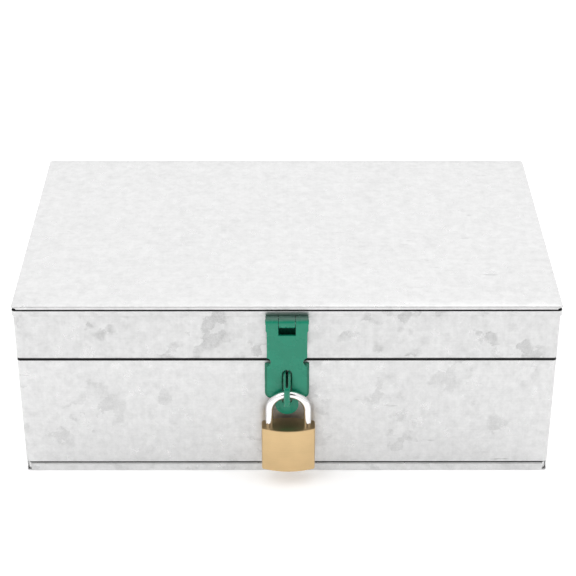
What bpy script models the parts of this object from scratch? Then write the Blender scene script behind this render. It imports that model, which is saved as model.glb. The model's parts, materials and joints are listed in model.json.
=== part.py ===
"""Galvanised sheet-steel collection box with a hinged lid, a green safety hasp and a brass padlock.

Metres, +Z up. The box stands on z = 0, its front faces -Y and its width runs along X. The origin is
the centre of the underside. Each object is one real piece; a moving piece has its origin on its axis.
"""

import math

import bmesh
import bpy
from mathutils import Vector

MM = 0.001

# Box: outer faces of the walls. The lid is flush with the body and closes over an inner collar.
BOX_WIDTH = 300 * MM
BOX_DEPTH = 180 * MM
BOX_HEIGHT = 111 * MM
LID_HEIGHT = 34 * MM
SHEET = 0.6 * MM
CORNER_RADIUS = 2.0 * MM
TIGHT_RADIUS = 0.25 * MM
CORNER_STEPS = 4
GAP = 0.3 * MM  # daylight left between pieces that touch
LID_SEAM = 0.8 * MM
COLLAR_HEIGHT = 8 * MM
COLLAR_CLEARANCE = 0.5 * MM
HEM_HEIGHT = 3 * MM
BAND_PROUD = 0.6 * MM  # the folded band under the lid's top edge stands this far out
BAND_HEIGHT = 3.6 * MM
TOP_LIP = 2.2 * MM  # turned-down edge of the lid's top
BAND_GAP = 0.6 * MM
PAN_LIP = 5.8 * MM  # upturned edge of the bottom pan
LIP_NOTCH = 2.6 * MM  # corner notch between two neighbouring turned edges

# Fasteners
RIVET_SHANK = 1.2 * MM
RIVET_CLEARANCE = 0.15 * MM
RIVET_HEAD = 2.1 * MM
RIVET_HEAD_HEIGHT = 1.0 * MM
RIVET_TAIL = 1.8 * MM
RIVET_TAIL_HEIGHT = 0.7 * MM
PIN_CLEARANCE = 0.08 * MM  # radial running clearance of every hinge pin
KNUCKLE_GAP = 0.3 * MM

# Rear butt hinges
HINGE_X = 95 * MM
HINGE_WIDTH = 40 * MM
HINGE_MIDDLE = 14 * MM
HINGE_SHEET = 1.2 * MM
HINGE_PIN = 1.3 * MM
HINGE_LEAF = 19 * MM
HINGE_RIVET_X = 13 * MM
BODY_RIVET_DROP = 12.5 * MM
LID_RIVET_RISE = 11.5 * MM

# Hasp: its pin is near the lid's top edge and its strap hangs over the staple on the body.
HASP_SHEET = 1.4 * MM
HASP_PIN = 1.8 * MM
HASP_PIN_DROP = 8.1 * MM  # pin centre below the lid's top
HASP_MIDDLE = 9.0 * MM
STRAP_WIDTH = 22.2 * MM
STRAP_KNUCKLE_WIDTH = 23.4 * MM
STRAP_LENGTH = LID_HEIGHT + 24.6 * MM
STRAP_END_RADIUS = 6.5 * MM
STRAP_TAPER = 14 * MM
NOTCH_RADIUS = 3.0 * MM
NOTCH_DEPTH = 2.2 * MM
SLOT_WIDTH = 5.8 * MM
SLOT_MARGIN = 1.7 * MM  # from the staple's top and bottom to the ends of the slot
LEAF_WIDTH = 19 * MM
LEAF_LENGTH = 18.9 * MM
LEAF_RIVET_X = 6.2 * MM
LEAF_RIVET_DROP = 12.4 * MM

# Staple and its plate
PLATE_SHEET = 1.2 * MM
PLATE_WIDTH = 24.8 * MM
PLATE_HEIGHT = 23.2 * MM
PLATE_DROP = 2.4 * MM  # plate top below the lid's lower edge
PLATE_RIVET_X = 8.4 * MM
STAPLE_HEIGHT = 19.6 * MM
STAPLE_DROP = 4.8 * MM  # staple top below the lid's lower edge
STAPLE_SHEET = 1.2 * MM
STAPLE_WIDTH = 3.9 * MM
STAPLE_NOSE = 2.5 * MM
STAPLE_SHOULDER = 6.2 * MM  # slope of the top edge, from the strap to the nose
TENON_HEIGHT = 3.0 * MM
TENON_INSET = 2.0 * MM
EYE_CLEARANCE = 0.6 * MM  # lets the bow's curve turn in the eye
EYE_RISE = 3.1 * MM  # headroom over the shackle, which lets the lock swing and tilt
EYE_SILL = 4.1 * MM  # metal below the eye, which the padlock hangs on

# Padlock
LOCK_X = 0.8 * MM
LOCK_WIDTH = 30 * MM
LOCK_THICKNESS = 14.2 * MM
LOCK_BULGE = 3.3 * MM
LOCK_HEIGHT = 27.8 * MM
LOCK_EDGE = 0.6 * MM
SHACKLE_RADIUS = 2.15 * MM
SHACKLE_CENTRES = 21.2 * MM
SHACKLE_CLEAR = 18.35 * MM  # from the top of the lock to the underside of the arch
STRAP_TO_SHACKLE = 0.35 * MM
LEG_CLEARANCE = 0.1 * MM
TOE_LENGTH = 7.5 * MM
HEEL_LENGTH = 21.5 * MM
RELEASE = 8.0 * MM
PLUG_RADIUS = 4.0 * MM
PLUG_LENGTH = 14.6 * MM
PLUG_CLEARANCE = 0.1 * MM
KEYWAY_WIDTH = 1.2 * MM
KEYWAY_HEIGHT = 5.6 * MM
CAM_RADIUS = 3.3 * MM
CAM_THICKNESS = 5.2 * MM
CHAMBER_RADIUS = 4.6 * MM
CHAMBER_ROOF = 2.4 * MM  # metal left above the cam chamber
TANG_WIDTH = 1.6 * MM
TANG_DEPTH = 1.2 * MM
THROW = 1.3 * MM  # bolt travel for a quarter turn, and the offset of the cam's stub
STUB_RADIUS = 0.8 * MM
STUB_CLEARANCE = 0.35 * MM
BOLT_RADIUS = 1.4 * MM
BOLT_DROP = 4.4 * MM  # bolt centre below the top of the lock
BOLT_BITE = 1.1 * MM
BOLT_PLAY = 0.3 * MM
BOLT_TAIL = 2.4 * MM
BOLT_WALL = 0.7 * MM
STACKS = 4
STACK_PITCH = 2.6 * MM
FIRST_STACK = 4.4 * MM  # above the underside of the lock
STACK_RADIUS = 0.95 * MM
STACK_CLEARANCE = 0.12 * MM
DRIVER_LENGTH = 2.8 * MM
STACK_PLUG = 2.2 * MM
SPRING_WIRE = 0.13 * MM
RETAINER_RADIUS = 0.8 * MM
RETAINER_BITE = 0.8 * MM
PLUG_GROOVE_RISE = 1.9 * MM
HEEL_RELIEF = 1.1 * MM
HEEL_RETAINER_DROP = 11.0 * MM

# Places that several pieces share
FRONT = -BOX_DEPTH / 2
BACK = BOX_DEPTH / 2
LID_BOTTOM = BOX_HEIGHT - LID_HEIGHT
SHOULDER = LID_BOTTOM - LID_SEAM
COLLAR_INSET = 2 * SHEET + COLLAR_CLEARANCE
HINGE_RADIUS = HINGE_PIN + PIN_CLEARANCE + HINGE_SHEET
HINGE_OUT = GAP + HINGE_RADIUS
HINGE_Z = (LID_BOTTOM + SHOULDER) / 2
HASP_RADIUS = HASP_PIN + PIN_CLEARANCE + HASP_SHEET
HASP_OUT = GAP + HASP_RADIUS
HASP_Z = BOX_HEIGHT - HASP_PIN_DROP
STRAP_FRONT = HASP_OUT + HASP_RADIUS
PLATE_TOP = LID_BOTTOM - PLATE_DROP
PLATE_FRONT = GAP + PLATE_SHEET
STAPLE_TOP = LID_BOTTOM - STAPLE_DROP
STAPLE_BOTTOM = STAPLE_TOP - STAPLE_HEIGHT
SHACKLE_OUT = STRAP_FRONT + STRAP_TO_SHACKLE + SHACKLE_RADIUS
STAPLE_TIP = SHACKLE_OUT + SHACKLE_RADIUS + EYE_CLEARANCE + STAPLE_SHEET
ROD_Z = STAPLE_BOTTOM + EYE_SILL + EYE_CLEARANCE + SHACKLE_RADIUS
ARCH_RADIUS = SHACKLE_CENTRES / 2
ARCH_Z = ROD_Z - ARCH_RADIUS
LOCK_Y = FRONT - SHACKLE_OUT
LOCK_TOP = ROD_Z - SHACKLE_RADIUS - SHACKLE_CLEAR
LOCK_BOTTOM = LOCK_TOP - LOCK_HEIGHT
TOE_X = LOCK_X + ARCH_RADIUS
HEEL_X = LOCK_X - ARCH_RADIUS
BOLT_Z = LOCK_TOP - BOLT_DROP
PLUG_TOP = LOCK_BOTTOM + PLUG_LENGTH
LID_AXIS = (0, BACK + HINGE_OUT, HINGE_Z)
HASP_AXIS = (0, FRONT - HASP_OUT, HASP_Z)


def clear_scene():
    for thing in list(bpy.data.objects):
        bpy.data.objects.remove(thing, do_unlink=True)


def make_material(name, colour, roughness, metallic):
    material = bpy.data.materials.new(name)
    material.use_nodes = True
    shader = material.node_tree.nodes["Principled BSDF"]
    shader.inputs["Base Color"].default_value = (*colour, 1.0)
    shader.inputs["Roughness"].default_value = roughness
    shader.inputs["Metallic"].default_value = metallic
    return material


def add_object(name, shape, material=None, origin=(0, 0, 0)):
    """Turns a bmesh in world coordinates into an object whose origin is at the given point."""
    origin = Vector(origin)
    bmesh.ops.translate(shape, verts=shape.verts, vec=-origin)
    mesh = bpy.data.meshes.new(name)
    shape.to_mesh(mesh)
    shape.free()
    mesh.shade_smooth()
    mesh.set_sharp_from_angle(angle=math.radians(32))
    if material:
        mesh.materials.append(material)
    thing = bpy.data.objects.new(name, mesh)
    thing.location = origin
    bpy.context.scene.collection.objects.link(thing)
    return thing


def combine(target, shape, operation="DIFFERENCE"):
    """Cuts a shape from an object, or keeps only what they share, with a Boolean modifier."""
    number = len(target.modifiers) + 1
    tool = add_object(f"{target.name}_tool_{number}", shape)
    tool.hide_render = True
    tool.display_type = "WIRE"
    modifier = target.modifiers.new(f"{operation.title()} {number}", "BOOLEAN")
    modifier.operation = operation
    modifier.solver = "EXACT"
    modifier.object = tool


def arc(centre, radius, start, end, steps):
    """Points of an arc in a plane, both ends included; angles in degrees."""
    angles = [math.radians(start + (end - start) * step / steps) for step in range(steps + 1)]
    return [(centre[0] + radius * math.cos(a), centre[1] + radius * math.sin(a)) for a in angles]


def prism(points, along):
    """A flat outline pushed along a vector."""
    shape = bmesh.new()
    face = shape.faces.new([shape.verts.new(point) for point in points])
    made = bmesh.ops.extrude_face_region(shape, geom=[face])
    corners = [item for item in made["geom"] if isinstance(item, bmesh.types.BMVert)]
    bmesh.ops.translate(shape, verts=corners, vec=along)
    bmesh.ops.recalc_face_normals(shape, faces=shape.faces)
    return shape


def block(low, high):
    points = [(low[0], low[1], low[2]), (high[0], low[1], low[2])]
    points += [(high[0], high[1], low[2]), (low[0], high[1], low[2])]
    return prism(points, (0, 0, high[2] - low[2]))


def turned(profile, base, direction, steps=16, ends_meet=False):
    """A solid of revolution. The profile lists (distance along, radius) points.

    It is capped at both ends, or, with ends_meet, it goes round a closed section and makes a ring.
    """
    direction = Vector(direction).normalized()
    side = direction.orthogonal().normalized()
    other = direction.cross(side)
    shape = bmesh.new()
    rings = []
    for distance, radius in profile:
        centre = Vector(base) + direction * distance
        ring = []
        for step in range(steps):
            angle = 2 * math.pi * step / steps
            outward = math.cos(angle) * side + math.sin(angle) * other
            ring.append(shape.verts.new(centre + radius * outward))
        rings.append(ring)
    close_rings(shape, rings, ends_meet)
    return shape


def rod(base, direction, length, radius, steps=16):
    return turned([(0, radius), (length, radius)], base, direction, steps)


def close_rings(shape, rings, ends_meet=False):
    """Joins rings of vertices into a skin, and either caps it or joins its last ring to its first."""
    pairs = list(zip(rings, rings[1:]))
    if ends_meet:
        pairs.append((rings[-1], rings[0]))
    for ring, following in pairs:
        for i in range(len(ring)):
            j = (i + 1) % len(ring)
            shape.faces.new((ring[i], ring[j], following[j], following[i]))
    if not ends_meet:
        shape.faces.new(rings[0])
        shape.faces.new(rings[-1])
    bmesh.ops.recalc_face_normals(shape, faces=shape.faces)


def sheet_ring(shape, inset, z):
    """The box's plan outline, moved in by inset, at one height."""
    radius = max(CORNER_RADIUS - inset, TIGHT_RADIUS)
    half_x = BOX_WIDTH / 2 - inset - radius
    half_y = BOX_DEPTH / 2 - inset - radius
    ring = []
    for corner, (sign_x, sign_y) in enumerate(((1, 1), (-1, 1), (-1, -1), (1, -1))):
        centre = (sign_x * half_x, sign_y * half_y)
        for x, y in arc(centre, radius, 90 * corner, 90 * corner + 90, CORNER_STEPS):
            ring.append(shape.verts.new((x, y, z)))
    return ring


def sheet_wrap(section, ends_meet):
    """Sheet metal bent round the box. The section lists (inset, height) points."""
    shape = bmesh.new()
    close_rings(shape, [sheet_ring(shape, inset, z) for inset, z in section], ends_meet)
    return shape


def wire(points, radius, sides):
    """A round wire along a list of points, with flat ends."""
    points = [Vector(point) for point in points]
    shape = bmesh.new()
    rings = []
    normal = None
    for i, point in enumerate(points):
        tangent = points[min(i + 1, len(points) - 1)] - points[max(i - 1, 0)]
        tangent.normalize()
        if normal is None:
            normal = tangent.orthogonal()
        normal = (normal - tangent * normal.dot(tangent)).normalized()
        across = tangent.cross(normal)
        ring = []
        for side in range(sides):
            angle = 2 * math.pi * side / sides
            outward = math.cos(angle) * normal + math.sin(angle) * across
            ring.append(shape.verts.new(point + radius * outward))
        rings.append(ring)
    close_rings(shape, rings)
    return shape


def coil(base, direction, length, radius, wire_radius, turns, steps=8, sides=5):
    """A compression spring whose middle line runs from base along direction."""
    direction = Vector(direction).normalized()
    side = direction.orthogonal().normalized()
    other = direction.cross(side)
    points = []
    for step in range(turns * steps + 1):
        angle = 2 * math.pi * step / steps
        rise = wire_radius + (length - 2 * wire_radius) * step / (turns * steps)
        outward = math.cos(angle) * side + math.sin(angle) * other
        points.append(Vector(base) + direction * rise + radius * outward)
    return wire(points, wire_radius, sides)


def curled_leaf(length, sheet, pin_hole, tail_angle=55, steps=12):
    """Side view of a hinge leaf as (out, up) points about its pin: a plate that hangs from a curl.

    The plate's rear face is one outer radius behind the pin, and the curl goes over the top.
    """
    outer = pin_hole + sheet
    inner_arc = arc((0, 0), pin_hole, 180, -tail_angle, steps)
    outer_arc = arc((0, 0), outer, -tail_angle, 180, steps)
    return [(-outer, -length), (-pin_hole, -length)] + inner_arc + outer_arc


def rivet(name, x, wall_y, outward, z, stack, material, origin=(0, 0, 0)):
    """A domed rivet. stack is the thickness that it clamps outside the wall's outer face."""
    head = [(0, RIVET_HEAD), (0.45 * RIVET_HEAD_HEIGHT, RIVET_HEAD * 0.93)]
    head += [(0.8 * RIVET_HEAD_HEIGHT, RIVET_HEAD * 0.65), (RIVET_HEAD_HEIGHT, RIVET_HEAD * 0.25)]
    start = -(SHEET + GAP + RIVET_TAIL_HEIGHT)
    top = stack + GAP
    profile = [(start, RIVET_TAIL * 0.8), (start + 0.3 * RIVET_TAIL_HEIGHT, RIVET_TAIL)]
    profile += [(start + RIVET_TAIL_HEIGHT, RIVET_TAIL), (start + RIVET_TAIL_HEIGHT, RIVET_SHANK)]
    profile += [(top, RIVET_SHANK)] + [(top + along, radius) for along, radius in head]
    return add_object(name, turned(profile, (x, wall_y, z), (0, outward, 0), 12), material, origin)


def rivet_hole(target, x, y, z):
    reach = 4 * MM
    combine(target, rod((x, y - reach, z), (0, 1, 0), 2 * reach, RIVET_SHANK + RIVET_CLEARANCE, 12))


def corner_notches(target, outset, low, high):
    """Clears the turned edges off the four corners of a pan."""
    for sign_x in (-1, 1):
        for sign_y in (-1, 1):
            x = sign_x * (BOX_WIDTH / 2 + outset)
            y = sign_y * (BOX_DEPTH / 2 + outset)
            reach = LIP_NOTCH
            combine(target, block((x - reach, y - reach, low), (x + reach, y + reach, high)))


def build_body(zinc):
    """Four walls bent from one sheet: stepped in at the foot for the pan and at the top for the lid."""
    foot = SHEET + GAP
    joggle = PAN_LIP + GAP
    outside = [(SHEET + GAP, foot), (SHEET + GAP, joggle), (0, joggle + SHEET)]
    outside += [(0, SHOULDER - 0.4 * MM), (0.25 * MM, SHOULDER - 0.1 * MM), (0.6 * MM, SHOULDER)]
    outside += [(COLLAR_INSET, SHOULDER + 0.2 * MM), (COLLAR_INSET, LID_BOTTOM + COLLAR_HEIGHT)]
    inside = [(COLLAR_INSET + SHEET, LID_BOTTOM + COLLAR_HEIGHT), (COLLAR_INSET + SHEET, SHOULDER - SHEET)]
    inside += [(SHEET, SHOULDER - SHEET - 0.4 * MM), (SHEET, joggle + SHEET + 0.3 * MM)]
    inside += [(2 * SHEET + GAP, joggle + 0.3 * MM), (2 * SHEET + GAP, foot)]
    walls = add_object("body_walls", sheet_wrap(outside + inside, True), zinc)

    section = [(SHEET, SHEET), (SHEET, PAN_LIP), (0, PAN_LIP), (0, 0.5 * MM), (0.15 * MM, 0.15 * MM)]
    section += [(0.5 * MM, 0)]
    pan = add_object("bottom_pan", sheet_wrap(section, False), zinc)
    corner_notches(pan, 0, SHEET + 0.4 * MM, PAN_LIP + 1 * MM)
    return walls


def build_lid(zinc):
    """The lid's four walls and its separate top, seamed together by folded edges."""
    lip_bottom = BOX_HEIGHT - TOP_LIP
    band_top = lip_bottom - BAND_GAP
    band_bottom = band_top - BAND_HEIGHT
    wall_top = BOX_HEIGHT - SHEET - GAP
    outside = [(0, LID_BOTTOM), (0, band_bottom), (-BAND_PROUD, band_bottom + 0.2 * MM)]
    outside += [(-BAND_PROUD, band_top), (GAP, band_top), (GAP, wall_top)]
    inside = [(GAP + SHEET, wall_top), (GAP + SHEET, band_top - SHEET), (SHEET, band_top - 2 * SHEET)]
    inside += [(SHEET, LID_BOTTOM + HEM_HEIGHT + 0.3 * MM), (2 * SHEET, LID_BOTTOM + HEM_HEIGHT)]
    inside += [(2 * SHEET, LID_BOTTOM)]
    walls = add_object("lid_walls", sheet_wrap(outside + inside, True), zinc, LID_AXIS)

    inner = SHEET - BAND_PROUD
    section = [(inner, BOX_HEIGHT - SHEET), (inner, lip_bottom), (-BAND_PROUD, lip_bottom)]
    section += [(-BAND_PROUD, BOX_HEIGHT - 0.5 * MM), (0.15 * MM - BAND_PROUD, BOX_HEIGHT - 0.15 * MM)]
    section += [(0.5 * MM - BAND_PROUD, BOX_HEIGHT)]
    top = add_object("lid_top", sheet_wrap(section, False), zinc, LID_AXIS)
    corner_notches(top, BAND_PROUD, lip_bottom - 1 * MM, BOX_HEIGHT - SHEET - 0.4 * MM)
    return walls


def build_hinge(side, walls, lid_walls, steel):
    """A three-knuckle butt hinge on the back: the body's leaf holds the pin's two ends."""
    centre = math.copysign(HINGE_X, 1 if side == "right" else -1)
    origin = Vector((centre, BACK + HINGE_OUT, HINGE_Z))
    outline = curled_leaf(HINGE_LEAF, HINGE_SHEET, HINGE_PIN + PIN_CLEARANCE)
    start = centre - HINGE_WIDTH / 2
    reach = HINGE_RADIUS + 0.4 * MM

    below = [(start, origin.y + out, origin.z + up) for out, up in outline]
    body_leaf = add_object(f"hinge_{side}_body_leaf", prism(below, (HINGE_WIDTH, 0, 0)), steel, origin)
    half = HINGE_MIDDLE / 2 + KNUCKLE_GAP
    low = (centre - half, origin.y - reach, origin.z - reach)
    combine(body_leaf, block(low, (centre + half, origin.y + reach, origin.z + reach)))

    above = [(start, origin.y + out, origin.z - up) for out, up in outline]
    lid_leaf = add_object(f"hinge_{side}_lid_leaf", prism(above, (HINGE_WIDTH, 0, 0)), steel, origin)
    for sign in (-1, 1):
        ends = sorted((centre + sign * HINGE_MIDDLE / 2, centre + sign * (HINGE_WIDTH / 2 + 1 * MM)))
        low = (ends[0], origin.y - reach, origin.z - reach)
        combine(lid_leaf, block(low, (ends[1], origin.y + reach, origin.z + reach)))

    head = HINGE_PIN * 0.8
    length = HINGE_WIDTH + 1 * MM
    profile = [(0, head), (0.3 * MM, HINGE_PIN), (length - 0.3 * MM, HINGE_PIN), (length, head)]
    pin = turned(profile, (start - 0.5 * MM, origin.y, origin.z), (1, 0, 0), 16)
    add_object(f"hinge_{side}_pin", pin, steel, origin)

    stack = GAP + HINGE_SHEET
    outwards = math.copysign(HINGE_RIVET_X, centre)
    for place, x in (("inner", centre - outwards), ("outer", centre + outwards)):
        for leaf, sheet, z, centre_of_turn in (
            (body_leaf, walls, HINGE_Z - BODY_RIVET_DROP, (0, 0, 0)),
            (lid_leaf, lid_walls, HINGE_Z + LID_RIVET_RISE, LID_AXIS),
        ):
            rivet_hole(leaf, x, BACK, z)
            rivet_hole(sheet, x, BACK, z)
            rivet(f"{leaf.name}_rivet_{place}", x, BACK, 1, z, stack, steel, centre_of_turn)


def build_hasp_leaf(lid_walls, green, steel):
    """The hasp's fixed leaf, riveted to the lid behind the strap, with one middle knuckle and the pin."""
    origin = Vector(HASP_AXIS)
    outline = curled_leaf(LEAF_LENGTH, HASP_SHEET, HASP_PIN + PIN_CLEARANCE, 50)
    start = -LEAF_WIDTH / 2
    points = [(start, origin.y - out, origin.z + up) for out, up in outline]
    leaf = add_object("hasp_leaf", prism(points, (LEAF_WIDTH, 0, 0)), green, LID_AXIS)
    reach = HASP_RADIUS + 0.5 * MM
    for sign in (-1, 1):
        ends = sorted((sign * HASP_MIDDLE / 2, sign * (LEAF_WIDTH / 2 + 1 * MM)))
        low = (ends[0], origin.y - reach, origin.z - reach)
        combine(leaf, block(low, (ends[1], origin.y + reach, origin.z + reach)))
    for name, x in (("left", -LEAF_RIVET_X), ("right", LEAF_RIVET_X)):
        z = HASP_Z - LEAF_RIVET_DROP
        rivet_hole(leaf, x, FRONT, z)
        rivet_hole(lid_walls, x, FRONT, z)
        rivet(f"hasp_leaf_rivet_{name}", x, FRONT, -1, z, GAP + HASP_SHEET, steel, LID_AXIS)

    length = STRAP_KNUCKLE_WIDTH + 0.6 * MM
    profile = [(0, HASP_PIN * 0.75), (0.3 * MM, HASP_PIN), (length - 0.3 * MM, HASP_PIN)]
    profile += [(length, HASP_PIN * 0.75)]
    pin = turned(profile, (-length / 2, origin.y, origin.z), (1, 0, 0), 20)
    add_object("hasp_pin", pin, green, origin)


def strap_outline():
    """Half of the strap's front view, from its top to its rounded end, as (across, up from the pin)."""
    half = STRAP_WIDTH / 2
    knuckle = STRAP_KNUCKLE_WIDTH / 2
    top = HASP_RADIUS + 1 * MM
    points = [(knuckle, top), (knuckle, -HASP_RADIUS - 0.3 * MM), (half, -HASP_RADIUS - 1.6 * MM)]
    notch_centre = (half - NOTCH_DEPTH + NOTCH_RADIUS, LID_BOTTOM + 1.8 * MM - HASP_Z)
    opening = math.degrees(math.acos((notch_centre[0] - half) / NOTCH_RADIUS))
    points += arc(notch_centre, NOTCH_RADIUS, 180 - opening, 180 + opening, 8)
    points.append((half, -STRAP_LENGTH + STRAP_TAPER))
    points += arc((0, -STRAP_LENGTH + STRAP_END_RADIUS), STRAP_END_RADIUS, 20, -90, 9)
    return points


def build_strap(green):
    """The swinging strap: two side knuckles, a notch in each edge, a slot for the staple, a round end."""
    origin = Vector(HASP_AXIS)
    outline = curled_leaf(STRAP_LENGTH, HASP_SHEET, HASP_PIN + PIN_CLEARANCE, 50)
    start = -STRAP_KNUCKLE_WIDTH / 2
    points = [(start, origin.y + out, origin.z + up) for out, up in outline]
    strap = add_object("hasp_strap", prism(points, (STRAP_KNUCKLE_WIDTH, 0, 0)), green, origin)

    right = strap_outline()
    left = [(-x, up) for x, up in reversed(right[:-1])]
    face = [(x, origin.y - 20 * MM, origin.z + up) for x, up in right + left]
    combine(strap, prism(face, (0, 40 * MM, 0)), "INTERSECT")

    half = HASP_MIDDLE / 2 + KNUCKLE_GAP
    window = 6.9 * MM
    low = (-half, origin.y - 20 * MM, origin.z - window)
    combine(strap, block(low, (half, origin.y + 20 * MM, origin.z + 20 * MM)))

    radius = SLOT_WIDTH / 2
    upper = STAPLE_TOP + SLOT_MARGIN - radius
    lower = STAPLE_BOTTOM - SLOT_MARGIN + radius
    slot = arc((0, upper), radius, 0, 180, 10) + arc((0, lower), radius, 180, 360, 10)
    combine(strap, prism([(x, origin.y - 20 * MM, z) for x, z in slot], (0, 40 * MM, 0)))


def build_staple(walls, green, steel):
    """The plate on the body and the folded staple that stands out through the strap's slot."""
    half = PLATE_WIDTH / 2
    bottom = PLATE_TOP - PLATE_HEIGHT
    foot, head = 4.0 * MM, 0.8 * MM
    outline = arc((half - head, PLATE_TOP - head), head, 0, 90, 3)
    outline += arc((head - half, PLATE_TOP - head), head, 90, 180, 3)
    outline += arc((foot - half, bottom + foot), foot, 180, 270, 6)
    outline += arc((half - foot, bottom + foot), foot, 270, 360, 6)
    points = [(x, FRONT - GAP, z) for x, z in outline]
    plate = add_object("staple_plate", prism(points, (0, -PLATE_SHEET, 0)), green)
    for name, x in (("left", -PLATE_RIVET_X), ("right", PLATE_RIVET_X)):
        z = PLATE_TOP - PLATE_HEIGHT / 2
        rivet_hole(plate, x, FRONT, z)
        rivet_hole(walls, x, FRONT, z)
        rivet(f"staple_plate_rivet_{name}", x, FRONT, -1, z, PLATE_FRONT, steel)

    tail = -(SHEET + GAP + 0.8 * MM)
    base = PLATE_FRONT + GAP
    half = STAPLE_WIDTH / 2
    inner = half - STAPLE_SHEET
    nose = STAPLE_NOSE / 2
    outer = [(half, tail), (half, STAPLE_TIP - 2.4 * MM), (half * 0.9, STAPLE_TIP - 1.2 * MM)]
    outer += [(nose, STAPLE_TIP - 0.2 * MM), (nose * 0.6, STAPLE_TIP)]
    fold = STAPLE_TIP - STAPLE_SHEET
    hollow = [(inner * 0.5, fold), (inner, fold - 0.8 * MM), (inner, tail)]
    plan = outer + [(-x, out) for x, out in reversed(outer)]
    plan += [(-x, out) for x, out in reversed(hollow)] + hollow
    low = STAPLE_BOTTOM - 1 * MM
    points = [(x, FRONT - out, low) for x, out in plan]
    staple = add_object("staple", prism(points, (0, 0, STAPLE_HEIGHT + 2 * MM)), green)

    slope_start = STRAP_FRONT + 0.3 * MM
    nose_top = STAPLE_TOP - 1.5 * MM - STAPLE_SHOULDER
    side = [(base, STAPLE_BOTTOM), (STAPLE_TIP - 1.6 * MM, STAPLE_BOTTOM + 0.2 * MM)]
    side.append((STAPLE_TIP - 0.5 * MM, STAPLE_BOTTOM + 0.8 * MM))
    side.append((STAPLE_TIP + 0.1 * MM, STAPLE_BOTTOM + 2 * MM))
    side += [(STAPLE_TIP + 0.1 * MM, nose_top - 0.9 * MM), (STAPLE_TIP - 0.3 * MM, nose_top)]
    side += [(slope_start, STAPLE_TOP - 1.5 * MM), (slope_start - 2 * MM, STAPLE_TOP - 0.4 * MM)]
    side.append((base, STAPLE_TOP))
    upper_tenon = STAPLE_TOP - TENON_INSET
    lower_tenon = STAPLE_BOTTOM + TENON_INSET
    tail_end = tail - 0.1 * MM
    side += [(base, upper_tenon), (tail_end, upper_tenon), (tail_end, upper_tenon - TENON_HEIGHT)]
    side += [(base, upper_tenon - TENON_HEIGHT), (base, lower_tenon + TENON_HEIGHT)]
    side += [(tail_end, lower_tenon + TENON_HEIGHT), (tail_end, lower_tenon), (base, lower_tenon)]
    points = [(-4 * MM, FRONT - out, z) for out, z in side]
    combine(staple, prism(points, (8 * MM, 0, 0)), "INTERSECT")

    radius = SHACKLE_RADIUS + EYE_CLEARANCE
    eye = arc((SHACKLE_OUT, ROD_Z + EYE_RISE), radius, 0, 180, 10)
    eye += arc((SHACKLE_OUT, ROD_Z), radius, 180, 360, 10)
    points = [(-4 * MM, FRONT - out, z) for out, z in eye]
    combine(staple, prism(points, (8 * MM, 0, 0)))

    room = 0.25 * MM
    for z in (lower_tenon, upper_tenon - TENON_HEIGHT):
        low = (-half - room, FRONT - 3 * MM, z - room)
        high = (half + room, FRONT + 3 * MM, z + TENON_HEIGHT + room)
        combine(plate, block(low, high))
        combine(walls, block(low, high))


def build_shackle(chrome):
    """Hardened steel bow: a long heel leg that stays in the lock and a short toe leg that the bolt holds."""
    origin = Vector((LOCK_X, LOCK_Y, ROD_Z))
    heel = LOCK_TOP - HEEL_LENGTH
    toe = LOCK_TOP - TOE_LENGTH
    path = [(HEEL_X, LOCK_Y, heel), (HEEL_X, LOCK_Y, LOCK_TOP), (HEEL_X, LOCK_Y, ARCH_Z - 0.5 * MM)]
    path += [(x, LOCK_Y, z) for x, z in arc((LOCK_X, ARCH_Z), ARCH_RADIUS, 180, 0, 20)]
    path += [(TOE_X, LOCK_Y, ARCH_Z - 0.5 * MM), (TOE_X, LOCK_Y, LOCK_TOP), (TOE_X, LOCK_Y, toe)]
    shackle = add_object("shackle", wire(path, SHACKLE_RADIUS, 20), chrome, origin)

    # The bolt's notch in the toe, with a ledge below it that the thrown bolt holds.
    face = TOE_X - SHACKLE_RADIUS
    half = BOLT_RADIUS + BOLT_PLAY
    low = (face - 1 * MM, LOCK_Y - 4 * MM, BOLT_Z - half)
    combine(shackle, block(low, (face + BOLT_BITE + 0.25 * MM, LOCK_Y + 4 * MM, BOLT_Z + half)))

    # A long flat on the heel lets the retaining pin travel while the lock drops open, and a neck at
    # its lower end lets the open lock turn.
    face = HEEL_X + SHACKLE_RADIUS
    open_z = LOCK_TOP - HEEL_RETAINER_DROP - RELEASE
    half = RETAINER_RADIUS + BOLT_PLAY
    low = (face - HEEL_RELIEF, LOCK_Y - 4 * MM, open_z - half)
    combine(shackle, block(low, (face + 1 * MM, LOCK_Y + 4 * MM, open_z + RELEASE + half)))
    neck = SHACKLE_RADIUS - HEEL_RELIEF
    section = [(0, neck), (2 * half, neck), (2 * half, 3 * MM), (0, 3 * MM)]
    combine(shackle, turned(section, (HEEL_X, LOCK_Y, open_z - half), (0, 0, 1), 20, True))


def lock_plan():
    """The lock's plan outline: flat narrow sides and two bulging faces."""
    half = LOCK_WIDTH / 2
    side = LOCK_THICKNESS / 2 - LOCK_BULGE
    radius = (half * half + LOCK_BULGE * LOCK_BULGE) / (2 * LOCK_BULGE)
    swing = math.degrees(math.asin(half / radius))
    centre = side + LOCK_BULGE - radius
    front = arc((0, -centre), radius, 270 - swing, 270 + swing, 14)
    back = arc((0, centre), radius, 90 - swing, 90 + swing, 14)
    return [(LOCK_X + x, LOCK_Y + y) for x, y in front + back]


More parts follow.
